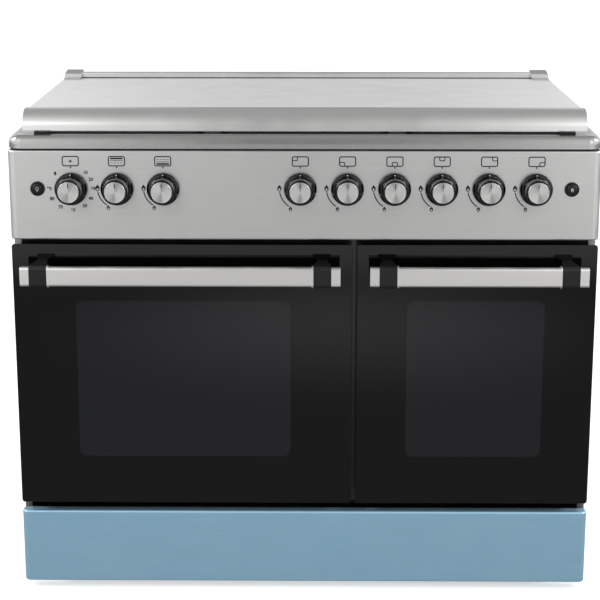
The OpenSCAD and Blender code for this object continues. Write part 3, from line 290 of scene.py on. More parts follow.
# %% Blue film
def filmed_steel(name, pale, deep):
    """Brushed steel under a thin blue film, with the faint patches of a film that was rolled on."""
    material, tree, shader = new_material(name, Metallic=0.7, Coat_Weight=0.2, Coat_Roughness=0.3)
    place = add(tree, "ShaderNodeTexCoord").outputs["Object"]
    drawn = add(tree, "ShaderNodeMapping", Vector=place, Scale=[1 / (s * MM) for s in (110.0, 1.2, 1.2)])
    streaks = add(tree, "ShaderNodeTexNoise", Vector=drawn, Scale=1.0, Detail=3.0, Roughness=0.6)
    patches = add(tree, "ShaderNodeTexNoise", Vector=place, Scale=1 / (90 * MM), Detail=2.0)
    mixed = add(tree, "ShaderNodeMath", {"operation": "MULTIPLY_ADD"}, i0=streaks, i1=1.5, i2=patches)
    tone = add(tree, "ShaderNodeMapRange", i0=mixed, i1=0.8, i2=1.7)
    colour = add(tree, "ShaderNodeMix", RGBA, i0=tone, i6=linear(pale), i7=linear(deep))
    tree.links.new(colour.outputs[2], shader.inputs["Base Color"])
    rough = add(tree, "ShaderNodeMapRange", i0=patches, i1=0.3, i2=0.7, i3=0.42, i4=0.48)
    tree.links.new(rough.outputs[0], shader.inputs["Roughness"])
    relief = add(tree, "ShaderNodeBump", Height=streaks, Distance=0.02 * MM, Strength=0.3)
    tree.links.new(relief.outputs[0], shader.inputs["Normal"])
    return material


blue_film = filmed_steel("blue_film_on_brushed_steel", "#a0c9e1", "#93bcd4")
print("film over steel:", blue_film.name)

# %% [markdown]
# Moulded plastic, ABS or a heat-proof nylon: pressed in a polished or sparked steel mould, which
# leaves a gloss or a fine leathery grain of about half a millimetre.

# %% Plastics and rubber
def moulded(name, code, roughness=0.35, grain_mm=0.6, depth_mm=0.01, level=0.5):
    """A moulded plastic or rubber with a fine even grain."""
    material, tree, shader = new_material(name, Base_Color=linear(code), IOR=1.5,
                                          Specular_IOR_Level=level)
    place = add(tree, "ShaderNodeTexCoord").outputs["Object"]
    grain = add(tree, "ShaderNodeTexNoise", Vector=place, Scale=1 / (grain_mm * MM), Detail=2.0)
    cloud = add(tree, "ShaderNodeTexNoise", Vector=place, Scale=1 / (18 * MM), Detail=1.0)
    rough = add(tree, "ShaderNodeMapRange", i0=cloud, i1=0.3, i2=0.7, i3=roughness * 0.85,
                i4=roughness * 1.15)
    tree.links.new(rough.outputs[0], shader.inputs["Roughness"])
    relief = add(tree, "ShaderNodeBump", Height=grain, Distance=depth_mm * MM, Strength=0.5)
    tree.links.new(relief.outputs[0], shader.inputs["Normal"])
    return material


knob_plastic = moulded("nylon_gloss_black", "#040404", 0.10, 0.8, 0.002, 0.36)
handle_plastic = moulded("nylon_satin_black", "#101011", 0.34, level=0.35)
unit_plastic = moulded("abs_matt_black", "#1c1c1d", 0.5, 0.5, 0.02)
foot_plastic = moulded("polypropylene_black", "#171717", 0.55, 0.7, 0.02)
gland_plastic = moulded("nylon_black_gland", "#161616", 0.5)
# The same black also serves the folded door frames, where it paints the shade of the seams.
rubber_and_seam_shade = moulded("silicone_black_and_seam_shade", "#0c0c0c", 0.62, 0.4, 0.01, 0.3)
print("black plastics and rubber: 6")

# %% [markdown]
# Vitreous enamel is glass fused to steel. It is glossy, slightly wavy like orange peel, and in an
# oven it is dark with pale specks that hide stains. Voronoi cells cut off near their centres give
# round specks.

# %% Enamels
def enamel(name, code, speck_code=None, roughness=0.22, speck_mm=2.2, peel_mm=5.0):
    """Vitreous enamel, plain or speckled."""
    material, tree, shader = new_material(name, Base_Color=linear(code), IOR=1.5, Coat_Weight=0.3,
                                          Coat_Roughness=0.1)
    place = add(tree, "ShaderNodeTexCoord").outputs["Object"]
    peel = add(tree, "ShaderNodeTexNoise", Vector=place, Scale=1 / (peel_mm * MM), Detail=1.0)
    if speck_code:
        cells = add(tree, "ShaderNodeTexVoronoi", Vector=place, Scale=1 / (speck_mm * MM))
        speck = add(tree, "ShaderNodeMapRange", i0=cells, i1=0.10, i2=0.16, i3=1.0, i4=0.0)
        colour = add(tree, "ShaderNodeMix", RGBA, i0=speck, i6=linear(code), i7=linear(speck_code))
        tree.links.new(colour.outputs[2], shader.inputs["Base Color"])
    rough = add(tree, "ShaderNodeMapRange", i0=peel, i3=roughness * 0.8, i4=roughness * 1.2)
    tree.links.new(rough.outputs[0], shader.inputs["Roughness"])
    relief = add(tree, "ShaderNodeBump", Height=peel, Distance=0.02 * MM, Strength=0.4)
    tree.links.new(relief.outputs[0], shader.inputs["Normal"])
    return material


oven_enamel = enamel("enamel_speckled_oven", "#1b1c20", "#a9adb2")
cabinet_enamel = enamel("enamel_grey_cabinet", "#4a4e52", "#7d8286")
# Its near-black also stands in for the shade of the deep seams, where alone the front frame shows.
frame_enamel_and_seam_shade = enamel("enamel_black_front_frame_and_seam_shade", "#121213")
cap_enamel = enamel("enamel_black_burner_cap", "#0e0e0f", roughness=0.42)
iron_enamel = enamel("enamel_matt_on_cast_iron", "#101011", roughness=0.55, peel_mm=1.8)
print("enamels: 5")

# %% [markdown]
# Raw metals: a zinc coating freezes into flat crystals called spangle, cast aluminium has a sandy
# skin, and chromed wire is smooth. Each has its own grain, and Voronoi cells make good crystals.

# %% Raw metals
def grained_metal(name, code, roughness, grain_mm, depth_mm, contrast=0.15):
    """A metal with an even grain of cells, such as a cast skin or the spangle of zinc."""
    material, tree, shader = new_material(name, Metallic=1.0)
    place = add(tree, "ShaderNodeTexCoord").outputs["Object"]
    cells = add(tree, "ShaderNodeTexVoronoi", Vector=place, Scale=1 / (grain_mm * MM))
    tone = add(tree, "ShaderNodeSeparateColor", Color=cells.outputs["Color"])
    colour = add(tree, "ShaderNodeMix", RGBA, i0=tone, i6=linear(code, 1 - contrast),
                 i7=linear(code, 1 + contrast))
    tree.links.new(colour.outputs[2], shader.inputs["Base Color"])
    rough = add(tree, "ShaderNodeMapRange", i0=tone, i3=roughness * 0.8, i4=roughness * 1.2)
    tree.links.new(rough.outputs[0], shader.inputs["Roughness"])
    relief = add(tree, "ShaderNodeBump", Height=cells, Distance=depth_mm * MM, Strength=0.4)
    tree.links.new(relief.outputs[0], shader.inputs["Normal"])
    return material


zinc_sheet = grained_metal("zinc_spangle_on_sheet", "#a3a7a9", 0.42, 9.0, 0.01)
cast_aluminium = grained_metal("aluminium_cast", "#9a9b9d", 0.5, 0.8, 0.05)
clamp_metal = grained_metal("aluminium_cast_satin", "#bdbdbd", 0.34, 0.7, 0.004, 0.03)
aluminised = grained_metal("aluminised_steel", "#6e6f70", 0.5, 3.0, 0.01)
pipe_metal = grained_metal("aluminium_drawn_tube", "#bcbcbc", 0.35, 2.0, 0.01, 0.06)
brass = grained_metal("brass_turned", "#c9a55e", 0.30, 1.2, 0.01, 0.08)
chrome_wire = grained_metal("chromed_wire", "#cdced0", 0.12, 6.0, 0.005, 0.04)
print("raw metals: 7")

# %% [markdown]
# Mineral wool, ceramic and printing ink have no shine to speak of. The wool is a felt of fibres
# some millimetres long, and the ink is a thin matt black film baked on the steel.

# %% Wool, ceramic and ink
def dull(name, code, other, grain_mm, roughness=0.9, depth_mm=0.2):
    """A matt material of two close colours in a grain of a given size along X, Y and Z."""
    material, tree, shader = new_material(name, Roughness=roughness, Specular_IOR_Level=0.3)
    place = add(tree, "ShaderNodeTexCoord").outputs["Object"]
    drawn = add(tree, "ShaderNodeMapping", Vector=place, Scale=[1 / (s * MM) for s in grain_mm])
    grain = add(tree, "ShaderNodeTexNoise", Vector=drawn, Scale=1.0, Detail=4.0, Roughness=0.7)
    tone = add(tree, "ShaderNodeMapRange", i0=grain, i1=0.3, i2=0.7)
    colour = add(tree, "ShaderNodeMix", RGBA, i0=tone, i6=linear(code), i7=linear(other))
    tree.links.new(colour.outputs[2], shader.inputs["Base Color"])
    relief = add(tree, "ShaderNodeBump", Height=grain, Distance=depth_mm * MM, Strength=0.6)
    tree.links.new(relief.outputs[0], shader.inputs["Normal"])
    return material


wool = dull("mineral_wool", "#c9b77c", "#a8945a", [6.0, 6.0, 1.5], depth_mm=1.0)
ceramic = dull("ceramic_glazed_white", "#e8e6e0", "#d9d6cf", [4.0] * 3, 0.25, 0.01)
ink = dull("ink_baked_black", "#0a0a0b", "#121213", [2.0] * 3, 0.6, 0.005)
pointer_ink = dull("ink_baked_grey", "#3c3c3d", "#48484a", [2.0] * 3, 0.5, 0.005)
pale_ink = dull("ink_pale_grey", "#b9b9b9", "#a9a9a9", [2.0] * 3, 0.6, 0.005)
white_paint = dull("paint_white_dot", "#f2f2f0", "#e2e2e0", [2.0] * 3, 0.5, 0.005)
print("matt finishes: 6")

# %% [markdown]
# The doors are toughened glass. Round the window a black ceramic print hides the frame, and
# behind the window the glass is tinted. The lid is glass with a pale grey coating, so that the
# pan supports under it hardly show, and at a flat angle it mirrors the sky behind the cooker.

# %% Glass
def sheet_glass(name, code, clear, roughness=0.04, level=0.5):
    """Glass with a tint and a share of light that passes. A wiped surface is a bit uneven."""
    material, tree, shader = new_material(name, Base_Color=linear(code), IOR=1.5,
                                          Transmission_Weight=clear, Specular_IOR_Level=level)
    place = add(tree, "ShaderNodeTexCoord").outputs["Object"]
    smear = add(tree, "ShaderNodeTexNoise", Vector=place, Scale=1 / (60 * MM), Detail=3.0)
    rough = add(tree, "ShaderNodeMapRange", i0=smear, i1=0.3, i2=0.7, i3=roughness * 0.92,
                i4=roughness * 1.12)
    tree.links.new(rough.outputs[0], shader.inputs["Roughness"])
    return material


door_print = sheet_glass("glass_black_printed", "#030303", 0.0, 0.06, 0.4)
door_window = sheet_glass("glass_tinted_window", "#17181b", 0.15, 0.06, 0.4)
inner_glass = sheet_glass("glass_clear_inner", "#c8d2d0", 0.9, 0.03)
lamp_glass = sheet_glass("glass_clear_lamp", "#f0efe6", 0.85, 0.05)
lid_glass = sheet_glass("glass_grey_coated_lid", "#cecece", 0.06, 0.24, 0.3)
print("kinds of glass: 5")

# %% [markdown]
# The caps of the knobs are spun aluminium: a lathe leaves circles round the centre, and the light
# gathers in bright wedges like a bow tie. The tangent runs round the centre, and a quarter turn
# spreads the reflection outwards, across the circles.

# %% Spun aluminium
CIRCLE_PITCH = 1.2 * MM
spun_aluminium, tree, shader = new_material("aluminium_spun_cap", Metallic=1.0, Anisotropic=0.9,
                                            Anisotropic_Rotation=0.25, Roughness=0.36,
                                            Base_Color=linear("#c4c4c3"))
turning = add(tree, "ShaderNodeTangent", {"direction_type": "RADIAL", "axis": "Z"})
tree.links.new(turning.outputs[0], shader.inputs["Tangent"])
place = add(tree, "ShaderNodeTexCoord").outputs["Object"]
radius = add(tree, "ShaderNodeVectorMath", {"operation": "LENGTH"}, i0=place).outputs["Value"]
phase = add(tree, "ShaderNodeMath", {"operation": "MULTIPLY"}, i0=radius, i1=2 * math.pi / CIRCLE_PITCH)
circles = add(tree, "ShaderNodeMath", {"operation": "SINE"}, i0=phase)
relief = add(tree, "ShaderNodeBump", Height=circles, Distance=0.004 * MM, Strength=0.4)
tree.links.new(relief.outputs[0], shader.inputs["Normal"])
print("circles on the caps every", CIRCLE_PITCH / MM, "mm")

# %% [markdown]
# Shapes: most pieces are lathed, extruded or bent from sheet, so a few mesh builders are enough.
# Sharp edges don't exist on real parts, so every outline gets small round corners first.

# %% Mesh builders
def rounded(points, radius, closed=False, steps=4):
    """Replaces the corners of an outline by small arcs."""
    count = len(points)
    result = []
    for i, corner in enumerate(points):
        if not closed and i in (0, count - 1):
            result.append(tuple(corner))
            continue
        corner = Vector(corner)
        before, after = Vector(points[i - 1]), Vector(points[(i + 1) % count])
        reach = min(radius, (before - corner).length * 0.45, (after - corner).length * 0.45)
        start = corner + (before - corner).normalized() * reach
        end = corner + (after - corner).normalized() * reach
        for k in range(steps + 1):
            t = k / steps
            result.append(tuple(start * (1 - t) ** 2 + corner * 2 * t * (1 - t) + end * t * t))
    return result


def show(name, mesh):
    """An object for a mesh, in the scene."""
    piece = bpy.data.objects.new(name, mesh)
    bpy.context.scene.collection.objects.link(piece)
    return piece


def finish_mesh(name, bm, *materials, smooth_angle=35):
    """Turns a bmesh into a mesh with its materials, smooth except over sharp edges."""
    bmesh.ops.recalc_face_normals(bm, faces=bm.faces)
    mesh = bpy.data.meshes.new(name)
    bm.to_mesh(mesh)
    bm.free()
    for material in materials:
        mesh.materials.append(material)
    mesh.shade_smooth()
    mesh.set_sharp_from_angle(angle=math.radians(smooth_angle))
    return mesh


def ring_faces(bm, first, second, closed=True):
    """Quads between two rings of vertices with the same count."""
    count = len(first)
    for i in range(count if closed else count - 1):
        j = (i + 1) % count
        bm.faces.new([first[i], first[j], second[j], second[i]])


def lathe(name, profile, *materials, segments=64):
    """Turns a profile of (radius, height) in mm round the local Z axis."""
    bm = bmesh.new()
    turn = [2 * math.pi * i / segments for i in range(segments)]
    rings = []
    for r, h in profile:
        around = turn if r > 1e-6 else [0]
        rings.append([bm.verts.new((r * MM * math.cos(a), r * MM * math.sin(a), h * MM))
                      for a in around])
    for low, high in zip(rings, rings[1:]):
        if len(low) == len(high):
            ring_faces(bm, low, high)
            continue
        tip, ring = (low[0], high) if len(low) == 1 else (high[0], low)
        for i in range(segments):
            bm.faces.new([tip, ring[i], ring[(i + 1) % segments]])
    return finish_mesh(name, bm, *materials)


def facing_front(piece, x, y, z):
    """Puts a piece made along local Z at a point, pointing at the viewer of the front."""
    piece.location = (x, y, z)
    piece.rotation_euler = (math.radians(90), 0, 0)
    return piece


def placed(piece, body, slot, *replaced):
    """Lets a piece ride on a body and stand for CAD nodes, which it hides. Its slot is not used."""
    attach(piece, body)
    if replaced:
        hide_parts(*replaced)
    return piece


print("a quarter turn of 4 mm in steps:", len(rounded([(0, 0), (9, 0), (9, 9)], 4)) - 2)

# %% [markdown]
# The control panel and the drawer front are folded from one sheet each: the face runs round both
# ends on a wide radius, and the top and bottom edges are bent back on a tight one. A plain box
# with a bevel would give all edges the same radius. Here rings of the outline are stacked up the
# height, drawn in at the bends, as a brake press and its punch shape the sheet.

# %% Folded fronts
def plan_outline(half_x, front_y, back_y, corner_r, inset, steps=10):
    """The sheet's line seen from above, open at the back, drawn in by an inset."""
    x, y, r = half_x - inset, front_y + inset, max(corner_r - inset, 0.2 * MM)
    points = [(-x, back_y)]
    for side, first in ((-1, math.pi), (1, 1.5 * math.pi)):
        for k in range(steps + 1):
            a = first + 0.5 * math.pi * k / steps
            points.append((side * (x - r) + r * math.cos(a), y + r + r * math.sin(a)))
    points.append((x, back_y))
    return points


def folded_front(name, material, low, high, corner_mm, bend_mm, sheet_mm=1.2):
    """A front folded from sheet between two corners of its box, open at the back."""
    half_x, bend, corner = high[0], bend_mm * MM, corner_mm * MM
    angles = [math.pi / 12 * k for k in range(7)]
    arc = [(bend * (1 - math.sin(a)), bend * (1 - math.cos(a))) for a in angles]
    levels = [(inset, low[2] + up) for inset, up in arc]
    levels += [(inset, high[2] - up) for inset, up in arc[::-1]]
    bm = bmesh.new()
    rings = [[bm.verts.new((x, y, z)) for x, y in plan_outline(half_x, low[1], high[1], corner, inset)]
             for inset, z in levels]
    for a, b in zip(rings, rings[1:]):
        ring_faces(bm, a, b, closed=False)
    bm.faces.new(rings[0])
    bm.faces.new(rings[-1][::-1])
    piece = show(name, finish_mesh(name, bm, material))
    wall = piece.modifiers.new("sheet", "SOLIDIFY")
    wall.thickness = sheet_mm * MM
    wall.offset = -1
    return piece


low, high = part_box("control_panel")
panel_front_y = low[1]
panel = folded_front("control_panel_steel", panel_steel, low, high, corner_mm=12, bend_mm=3.0)
placed(panel, "cooker", "panel_steel", "control_panel")
print("panel", round((high[2] - low[2]) / MM), "mm high")

low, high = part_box("drawer_face")
drawer = folded_front("drawer_front_filmed", blue_film, low, high, corner_mm=10, bend_mm=4.0)
placed(drawer, "drawer", "blue_enamel", "drawer_face")
print("drawer front", round((high[2] - low[2]) / MM), "mm high")

# %% [markdown]
# Prints and paints are thin films with a crisp outline. A texture could hold them, but raised
# outlines stay sharp at any size. One builder makes the film for outlines in millimetres.

# %% Flat prints
def flat_print(name, outlines, material, y=0.0, film_mm=0.06):
    """Prints closed outlines of (x, z) in mm, some with a hole, as a thin film that faces the front."""
    bm = bmesh.new()
    for outer, hole in outlines:
        films = []
        for line in (outer, hole):
            if line:
                films.append([[bm.verts.new((x * MM, level, z * MM)) for x, z in line]
                              for level in (y - film_mm * MM, y)])
        for front, back in films:
            ring_faces(bm, front, back)
        for side in (0, 1):
            if hole:
                ring_faces(bm, films[0][side], films[1][side])
            else:
                bm.faces.new(films[0][side])
    return finish_mesh(name, bm, material)


def circle_line(cx, cz, r, count=24):
    """A round outline."""
    turn = [2 * math.pi * i / count for i in range(count)]
    return [(cx + r * math.sin(a), cz + r * math.cos(a)) for a in turn]


def bar_line(x0, x1, z0, z1, r=0.3):
    """A bar with slightly round corners."""
    return rounded([(x0, z0), (x1, z0), (x1, z1), (x0, z1)], r, closed=True)


print("points of a printed bar:", len(bar_line(0, 5, 0, 1)))

# %% [markdown]
# A knob is three parts to the eye: a broad skirt whose bevel catches a crescent of light, a
# tapered grip with a groove under it, and the spun cap pressed in its face. All are round, so a
# lathe makes them from a half profile. The pointer is a dark line on the cap, and the white dot
# sits on the skirt. Both turn with the knob.

# %% Knobs
def knob_sizes(node):
    """Centre, back and face of a knob, from its box in the frame."""
    low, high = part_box(node)
    return (low[0] + high[0]) / 2, (low[2] + high[2]) / 2, high[1], low[1]


_, _, knob_back_y, knob_face_y = knob_sizes("knob_1")
lift = (panel_front_y - knob_back_y) / MM
tall = (panel_front_y - knob_face_y) / MM
SKIRT_R, GROOVE_R, GRIP_R, FACE_R, CAP_R = 27.6, 21.0, 22.6, 20.9, 17.8
knob_profile = rounded([(0, lift), (SKIRT_R, lift), (SKIRT_R, lift + 2.4), (SKIRT_R - 3.6, lift + 5.4),
                        (GROOVE_R, lift + 5.6), (GROOVE_R, lift + 7.2), (GRIP_R, lift + 7.9),
                        (GRIP_R - 0.2, lift + 10), (FACE_R + 0.4, tall - 2.8),
                        (FACE_R - 1.0, tall - 0.9), (CAP_R + 0.5, tall - 0.9),
                        (CAP_R + 0.3, tall - 1.6), (0, tall - 1.6)], 0.8)
cap_profile = rounded([(0, tall - 1.5), (CAP_R, tall - 1.5), (CAP_R, tall - 0.6), (CAP_R - 0.8, tall),
                       (CAP_R - 2.2, tall - 0.25), (0, tall - 0.25)], 0.3)
grip_mesh = lathe("knob_grip", knob_profile, knob_plastic, segments=96)
cap_mesh = lathe("knob_cap", cap_profile, spun_aluminium, segments=96)
pointer_line = bar_line(-0.95, 0.95, CAP_R - 10.0, CAP_R - 3.0)
pointer_mesh = flat_print("knob_pointer", [(pointer_line, None)], pointer_ink)
dot_mesh = flat_print("knob_dot", [(circle_line(0, SKIRT_R - 3.0, 1.0), None)], white_paint)

KNOBS = ["timer_knob", "knob_grill", "knob_oven"] + ["knob_%d" % n for n in range(1, 7)]
for node in KNOBS:
    x, z, _, _ = knob_sizes(node)
    body = node + "_body"
    grip = facing_front(show(node + "_grip", grip_mesh), x, panel_front_y, z)
    cap = facing_front(show(node + "_cap", cap_mesh), x, panel_front_y, z)
    pointer = show(node + "_pointer", pointer_mesh)
    pointer.location = (x, panel_front_y - (tall - 0.27) * MM, z)
    dot = show(node + "_dot", dot_mesh)
    dot.location = (x, panel_front_y - (lift + 5.2) * MM, z)
    placed(grip, body, "knob_plastic", node)
    for part in (cap, pointer, dot):
        placed(part, body, "knob_plastic")
print("knobs:", len(KNOBS), "standing out", round(tall, 1), "mm")

# %% [markdown]
# The two buttons sit in a domed ring. The ring belongs to the switch behind the panel.

# %% Buttons
PUSH_R, STEM_IN = 8.5, 13
RING_HOLE_R, RING_R = 8.9, 12.6
ring_profile = rounded([(RING_HOLE_R, 0.2), (RING_HOLE_R, 2.2), (RING_HOLE_R + 0.7, 3.0),
                        (RING_R - 1.2, 2.8), (RING_R - 0.1, 1.6), (RING_R, 0.05),
                        (RING_HOLE_R, 0.05)], 0.6)
for node in ("lamp_button", "spark_button"):
    low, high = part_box(node)
    x, z = (low[0] + high[0]) / 2, (low[2] + high[2]) / 2
    stem = (panel_front_y - low[1]) / MM
    push_profile = rounded([(0, -STEM_IN), (PUSH_R, -STEM_IN), (PUSH_R, stem - 1.4),
                            (PUSH_R - 1.1, stem - 0.3), (PUSH_R - 4.5, stem), (0, stem)], 0.8)
    push = show(node + "_dome", lathe(node + "_dome", push_profile, handle_plastic))
    placed(facing_front(push, x, panel_front_y, z), node + "_body", "button_plastic", node)
    ring = show(node + "_ring", lathe(node + "_ring", ring_profile, knob_plastic))
    placed(facing_front(ring, x, panel_front_y, z), "cooker", "unit_plastic")
    print(node, "stands out", round(stem, 1), "mm")

# %% [markdown]
# The panel's printing: a symbol over each knob tells which burner it feeds, and an arc runs from
# a big flame to a small one. Outlines come from a few radii and angles in millimetres, measured
# clockwise from the top of each knob. First a few pens and shapes.

# %% Pens and flames
def stroke(points, width, closed=False):
    """The two sides of a pen line along points, as one outline or as an outline with a hole."""
    count = len(points)
    left, right = [], []
    for i, point in enumerate(points):
        here = Vector(point)
        before = Vector(points[i - 1]) if closed or i > 0 else here
        after = Vector(points[(i + 1) % count]) if closed or i < count - 1 else here
        run = (after - before).normalized()
        side = Vector((-run[1], run[0])) * width / 2
        left.append(tuple(here + side))
        right.append(tuple(here - side))
    return (left, right) if closed else (left + right[::-1], None)


def moved(outlines, dx, dz):
    """The same outlines at another place."""
    return [tuple(line and [(x + dx, z + dz) for x, z in line] for line in pair) for pair in outlines]


def drop_line(width, height, lower=0.0, count=24):
    """A flame: round below and drawn to a point above."""
    turn = [2 * math.pi * i / count for i in range(count)]
    return [(width / 2 * math.sin(a) * (1 - 0.62 * max(math.cos(a), 0) ** 1.1),
             height / 2 * math.cos(a) - lower) for a in turn]


def flame(width, height):
    """A solid flame with a small pale core in its lower part."""
    return drop_line(width, height), drop_line(width * 0.48, height * 0.38, height * 0.18)


PEN = 1.85
ICON_W, ICON_H = 27.0, 15.8
BIG_FLAME, SMALL_FLAME = (7.4, 11.2), (6.0, 8.6)
half_icon = [(-ICON_W / 2, -ICON_H / 2), (ICON_W / 2, -ICON_H / 2), (ICON_W / 2, ICON_H / 2),
             (-ICON_W / 2, ICON_H / 2)]
icon_frame = stroke(rounded(half_icon, 3.2, closed=True, steps=6), PEN, True)
print("icon frame", ICON_W, "x", ICON_H, "mm, pen", PEN, "mm")

# %% [markdown]
# Each hob knob's icon is a plan of the hob, with a small square where its burner is. The oven's
# icon has a heavy bar below and the grill's has one above, as on most cookers, and the timer's
# has a plus.

# %% Icons and arcs
def burner_mark(column, row):
    """A square in the part of the icon where the burner is, open at the icon's own frame."""
    w, h, pen = 8.6, 6.4, PEN * 0.85
    cx = column * (ICON_W - w) / 2
    z0, z1 = (ICON_H / 2 - h, ICON_H / 2) if row else (-ICON_H / 2, -ICON_H / 2 + h)
    inner, outer = (z0, z1) if row else (z1, z0)
    corners = [(cx - w / 2, outer), (cx - w / 2, inner), (cx + w / 2, inner), (cx + w / 2, outer)]
    if column == -1:
        corners = [(-ICON_W / 2, inner)] + corners[2:]
    if column == 1:
        corners = corners[:2] + [(ICON_W / 2, inner)]
    return [stroke(rounded(corners, 1.6), pen)]


def heat_mark(up):
    """A heavy bar at the heated side of the oven, a thin line, and a dashed shelf."""
    reach, half_dash = 10.4, 2.0
    heavy = bar_line(-reach, reach, *sorted((up * 3.2, up * 6.0)))
    thin = bar_line(-reach, reach, *sorted((up * 0.6, up * 1.5)))
    shelf = sorted((up * -2.6, up * -3.4))
    dashes = [(bar_line(x - half_dash, x + half_dash, *shelf), None) for x in (-8.2, -2.7, 2.7, 8.2)]
    return [(heavy, None), (thin, None)] + dashes


plus = [(bar_line(-2.7, 2.7, -0.8, 0.8), None), (bar_line(-0.8, 0.8, -2.7, 2.7), None)]
BURNER_PLACES = [(-1, 1), (-1, 0), (0, 0), (0, 1), (1, 1), (1, 0)]
plans = [burner_mark(column, row) for column, row in BURNER_PLACES]
marks = dict(zip(KNOBS, [plus, heat_mark(1), heat_mark(-1)] + plans))

ICON_UP, DOT_UP, DOT_R = 46.9, 36.4, 1.4
ARC_R, OVEN_ARC_R, ARC_FROM, ARC_TO, ARC_PEN = 35.3, 33.3, 99, 149, 1.9
BIG_FLAME_UP = 1.2
SMALL_FLAME_AT, SMALL_FLAME_OUT = math.radians(154), 3
printing = []
for node in KNOBS:
    x, z, _, _ = knob_sizes(node)
    x, z = x / MM, z / MM
    printing += moved([icon_frame] + marks[node], x, z + ICON_UP)
    printing += moved([(circle_line(0, 0, DOT_R, 12), None)], x, z + DOT_UP)
    if node == "timer_knob":
        continue
    r = OVEN_ARC_R if node in ("knob_grill", "knob_oven") else ARC_R
    printing += moved([flame(*BIG_FLAME)], x - r, z + BIG_FLAME_UP)
    small_r = r + SMALL_FLAME_OUT
    printing += moved([flame(*SMALL_FLAME)], x - small_r * math.sin(SMALL_FLAME_AT),
                      z + small_r * math.cos(SMALL_FLAME_AT))
    turn = [math.radians(a) for a in range(ARC_FROM, ARC_TO, 3)]
    printing += moved([stroke([(-r * math.sin(a), r * math.cos(a)) for a in turn], ARC_PEN)], x, z)
symbols = show("panel_symbols", flat_print("panel_symbols", printing, ink, y=panel_front_y))
placed(symbols, "cooker", "panel_steel")
print("printed outlines:", len(printing))

# %% [markdown]
# The minutes round the timer are plain numbers. Blender's text object makes the outlines, and
# the meshes are joined so that one piece holds the whole dial.

# %% Dial numbers
def number_mesh(text, height_mm, bold_mm=0.28):
    """A number as a mesh, centred on its own origin, in the XZ plane."""
    curve = bpy.data.curves.new("number", "FONT")
    curve.body = text
    curve.size = height_mm / 0.7 * MM
    curve.align_x = "CENTER"
    curve.align_y = "CENTER"
    curve.extrude = 0.03 * MM
    curve.offset = bold_mm * MM
    holder = show("number", curve)
    bpy.context.view_layer.update()
    mesh = bpy.data.meshes.new_from_object(holder.evaluated_get(bpy.context.evaluated_depsgraph_get()))
    bpy.data.objects.remove(holder)
    mesh.transform(Matrix.Rotation(math.radians(90), 4, "X"))
    return mesh


MINUTES = {10: 42, 20: 65, 30: 90, 40: 117, 50: 143, 60: 177, 70: 211, 80: 242, 90: 270}
DIAL_R, NUMBER_H = 37.0, 5.5
timer_x, timer_z, _, _ = knob_sizes("timer_knob")
bm = bmesh.new()
for minutes, angle in MINUTES.items():
    mesh = number_mesh(str(minutes), NUMBER_H)
    a = math.radians(angle)
    mesh.transform(Matrix.Translation((timer_x + DIAL_R * MM * math.sin(a), panel_front_y - 0.03 * MM,
                                       timer_z + DIAL_R * MM * math.cos(a))))
    bm.from_mesh(mesh)
numbers = show("timer_numbers", finish_mesh("timer_numbers", bm, ink))
placed(numbers, "cooker", "panel_steel")
print("numbers on the dial:", len(MINUTES))

# %% [markdown]
# A bell marks the end of the time, and each button carries its own small symbol: a lamp, and a
# flame for the spark.

# %% Small symbols
bell_at = math.radians(315)
bell = rounded([(-3.0, -2.2), (3.0, -2.2), (1.9, -0.8), (1.6, 2.0), (0, 3.2), (-1.6, 2.0), (-1.9, -0.8)],
               0.8, True)
bell_print = moved([(bell, None), (circle_line(0, -3.2, 0.8, 12), None)],
                   timer_x / MM + DIAL_R * math.sin(bell_at), timer_z / MM + DIAL_R * math.cos(bell_at))
bell_mark = show("timer_bell", flat_print("timer_bell", bell_print, ink, y=panel_front_y))
placed(bell_mark, "cooker", "panel_steel")

lamp_sign = [stroke(circle_line(0, 0.8, 2.4, 16), 0.8, True), (bar_line(-1.2, 1.2, -3.6, -2.4), None)]
for node, sign in (("lamp_button", lamp_sign), ("spark_button", [flame(5.0, 6.6)])):
    low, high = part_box(node)
    x, z = (low[0] + high[0]) / 2 / MM, (low[2] + high[2]) / 2 / MM
    film = flat_print(node + "_sign", moved(sign, x, z), pale_ink, y=low[1] + 0.02 * MM)
    placed(show(node + "_sign", film), node + "_body", "button_plastic")
    print(node, "carries its sign")

# %% [markdown]
# A door pane is one sheet of toughened glass with ground edges. The window is the part of the
# back that carries no black print. One mesh holds both, split along the window's round outline.

# %% Door panes
def frame_points(x0, x1, z0, z1, r, steps=8):
    """A rectangle with round corners, as points."""
    points = []
    corners = [(x1 - r, z1 - r, 0), (x0 + r, z1 - r, 90), (x0 + r, z0 + r, 180), (x1 - r, z0 + r, 270)]
    for cx, cz, first in corners:
        for k in range(steps + 1):
            a = math.radians(first + 90 * k / steps)
            points.append((cx + r * math.cos(a), cz + r * math.sin(a)))
    return points


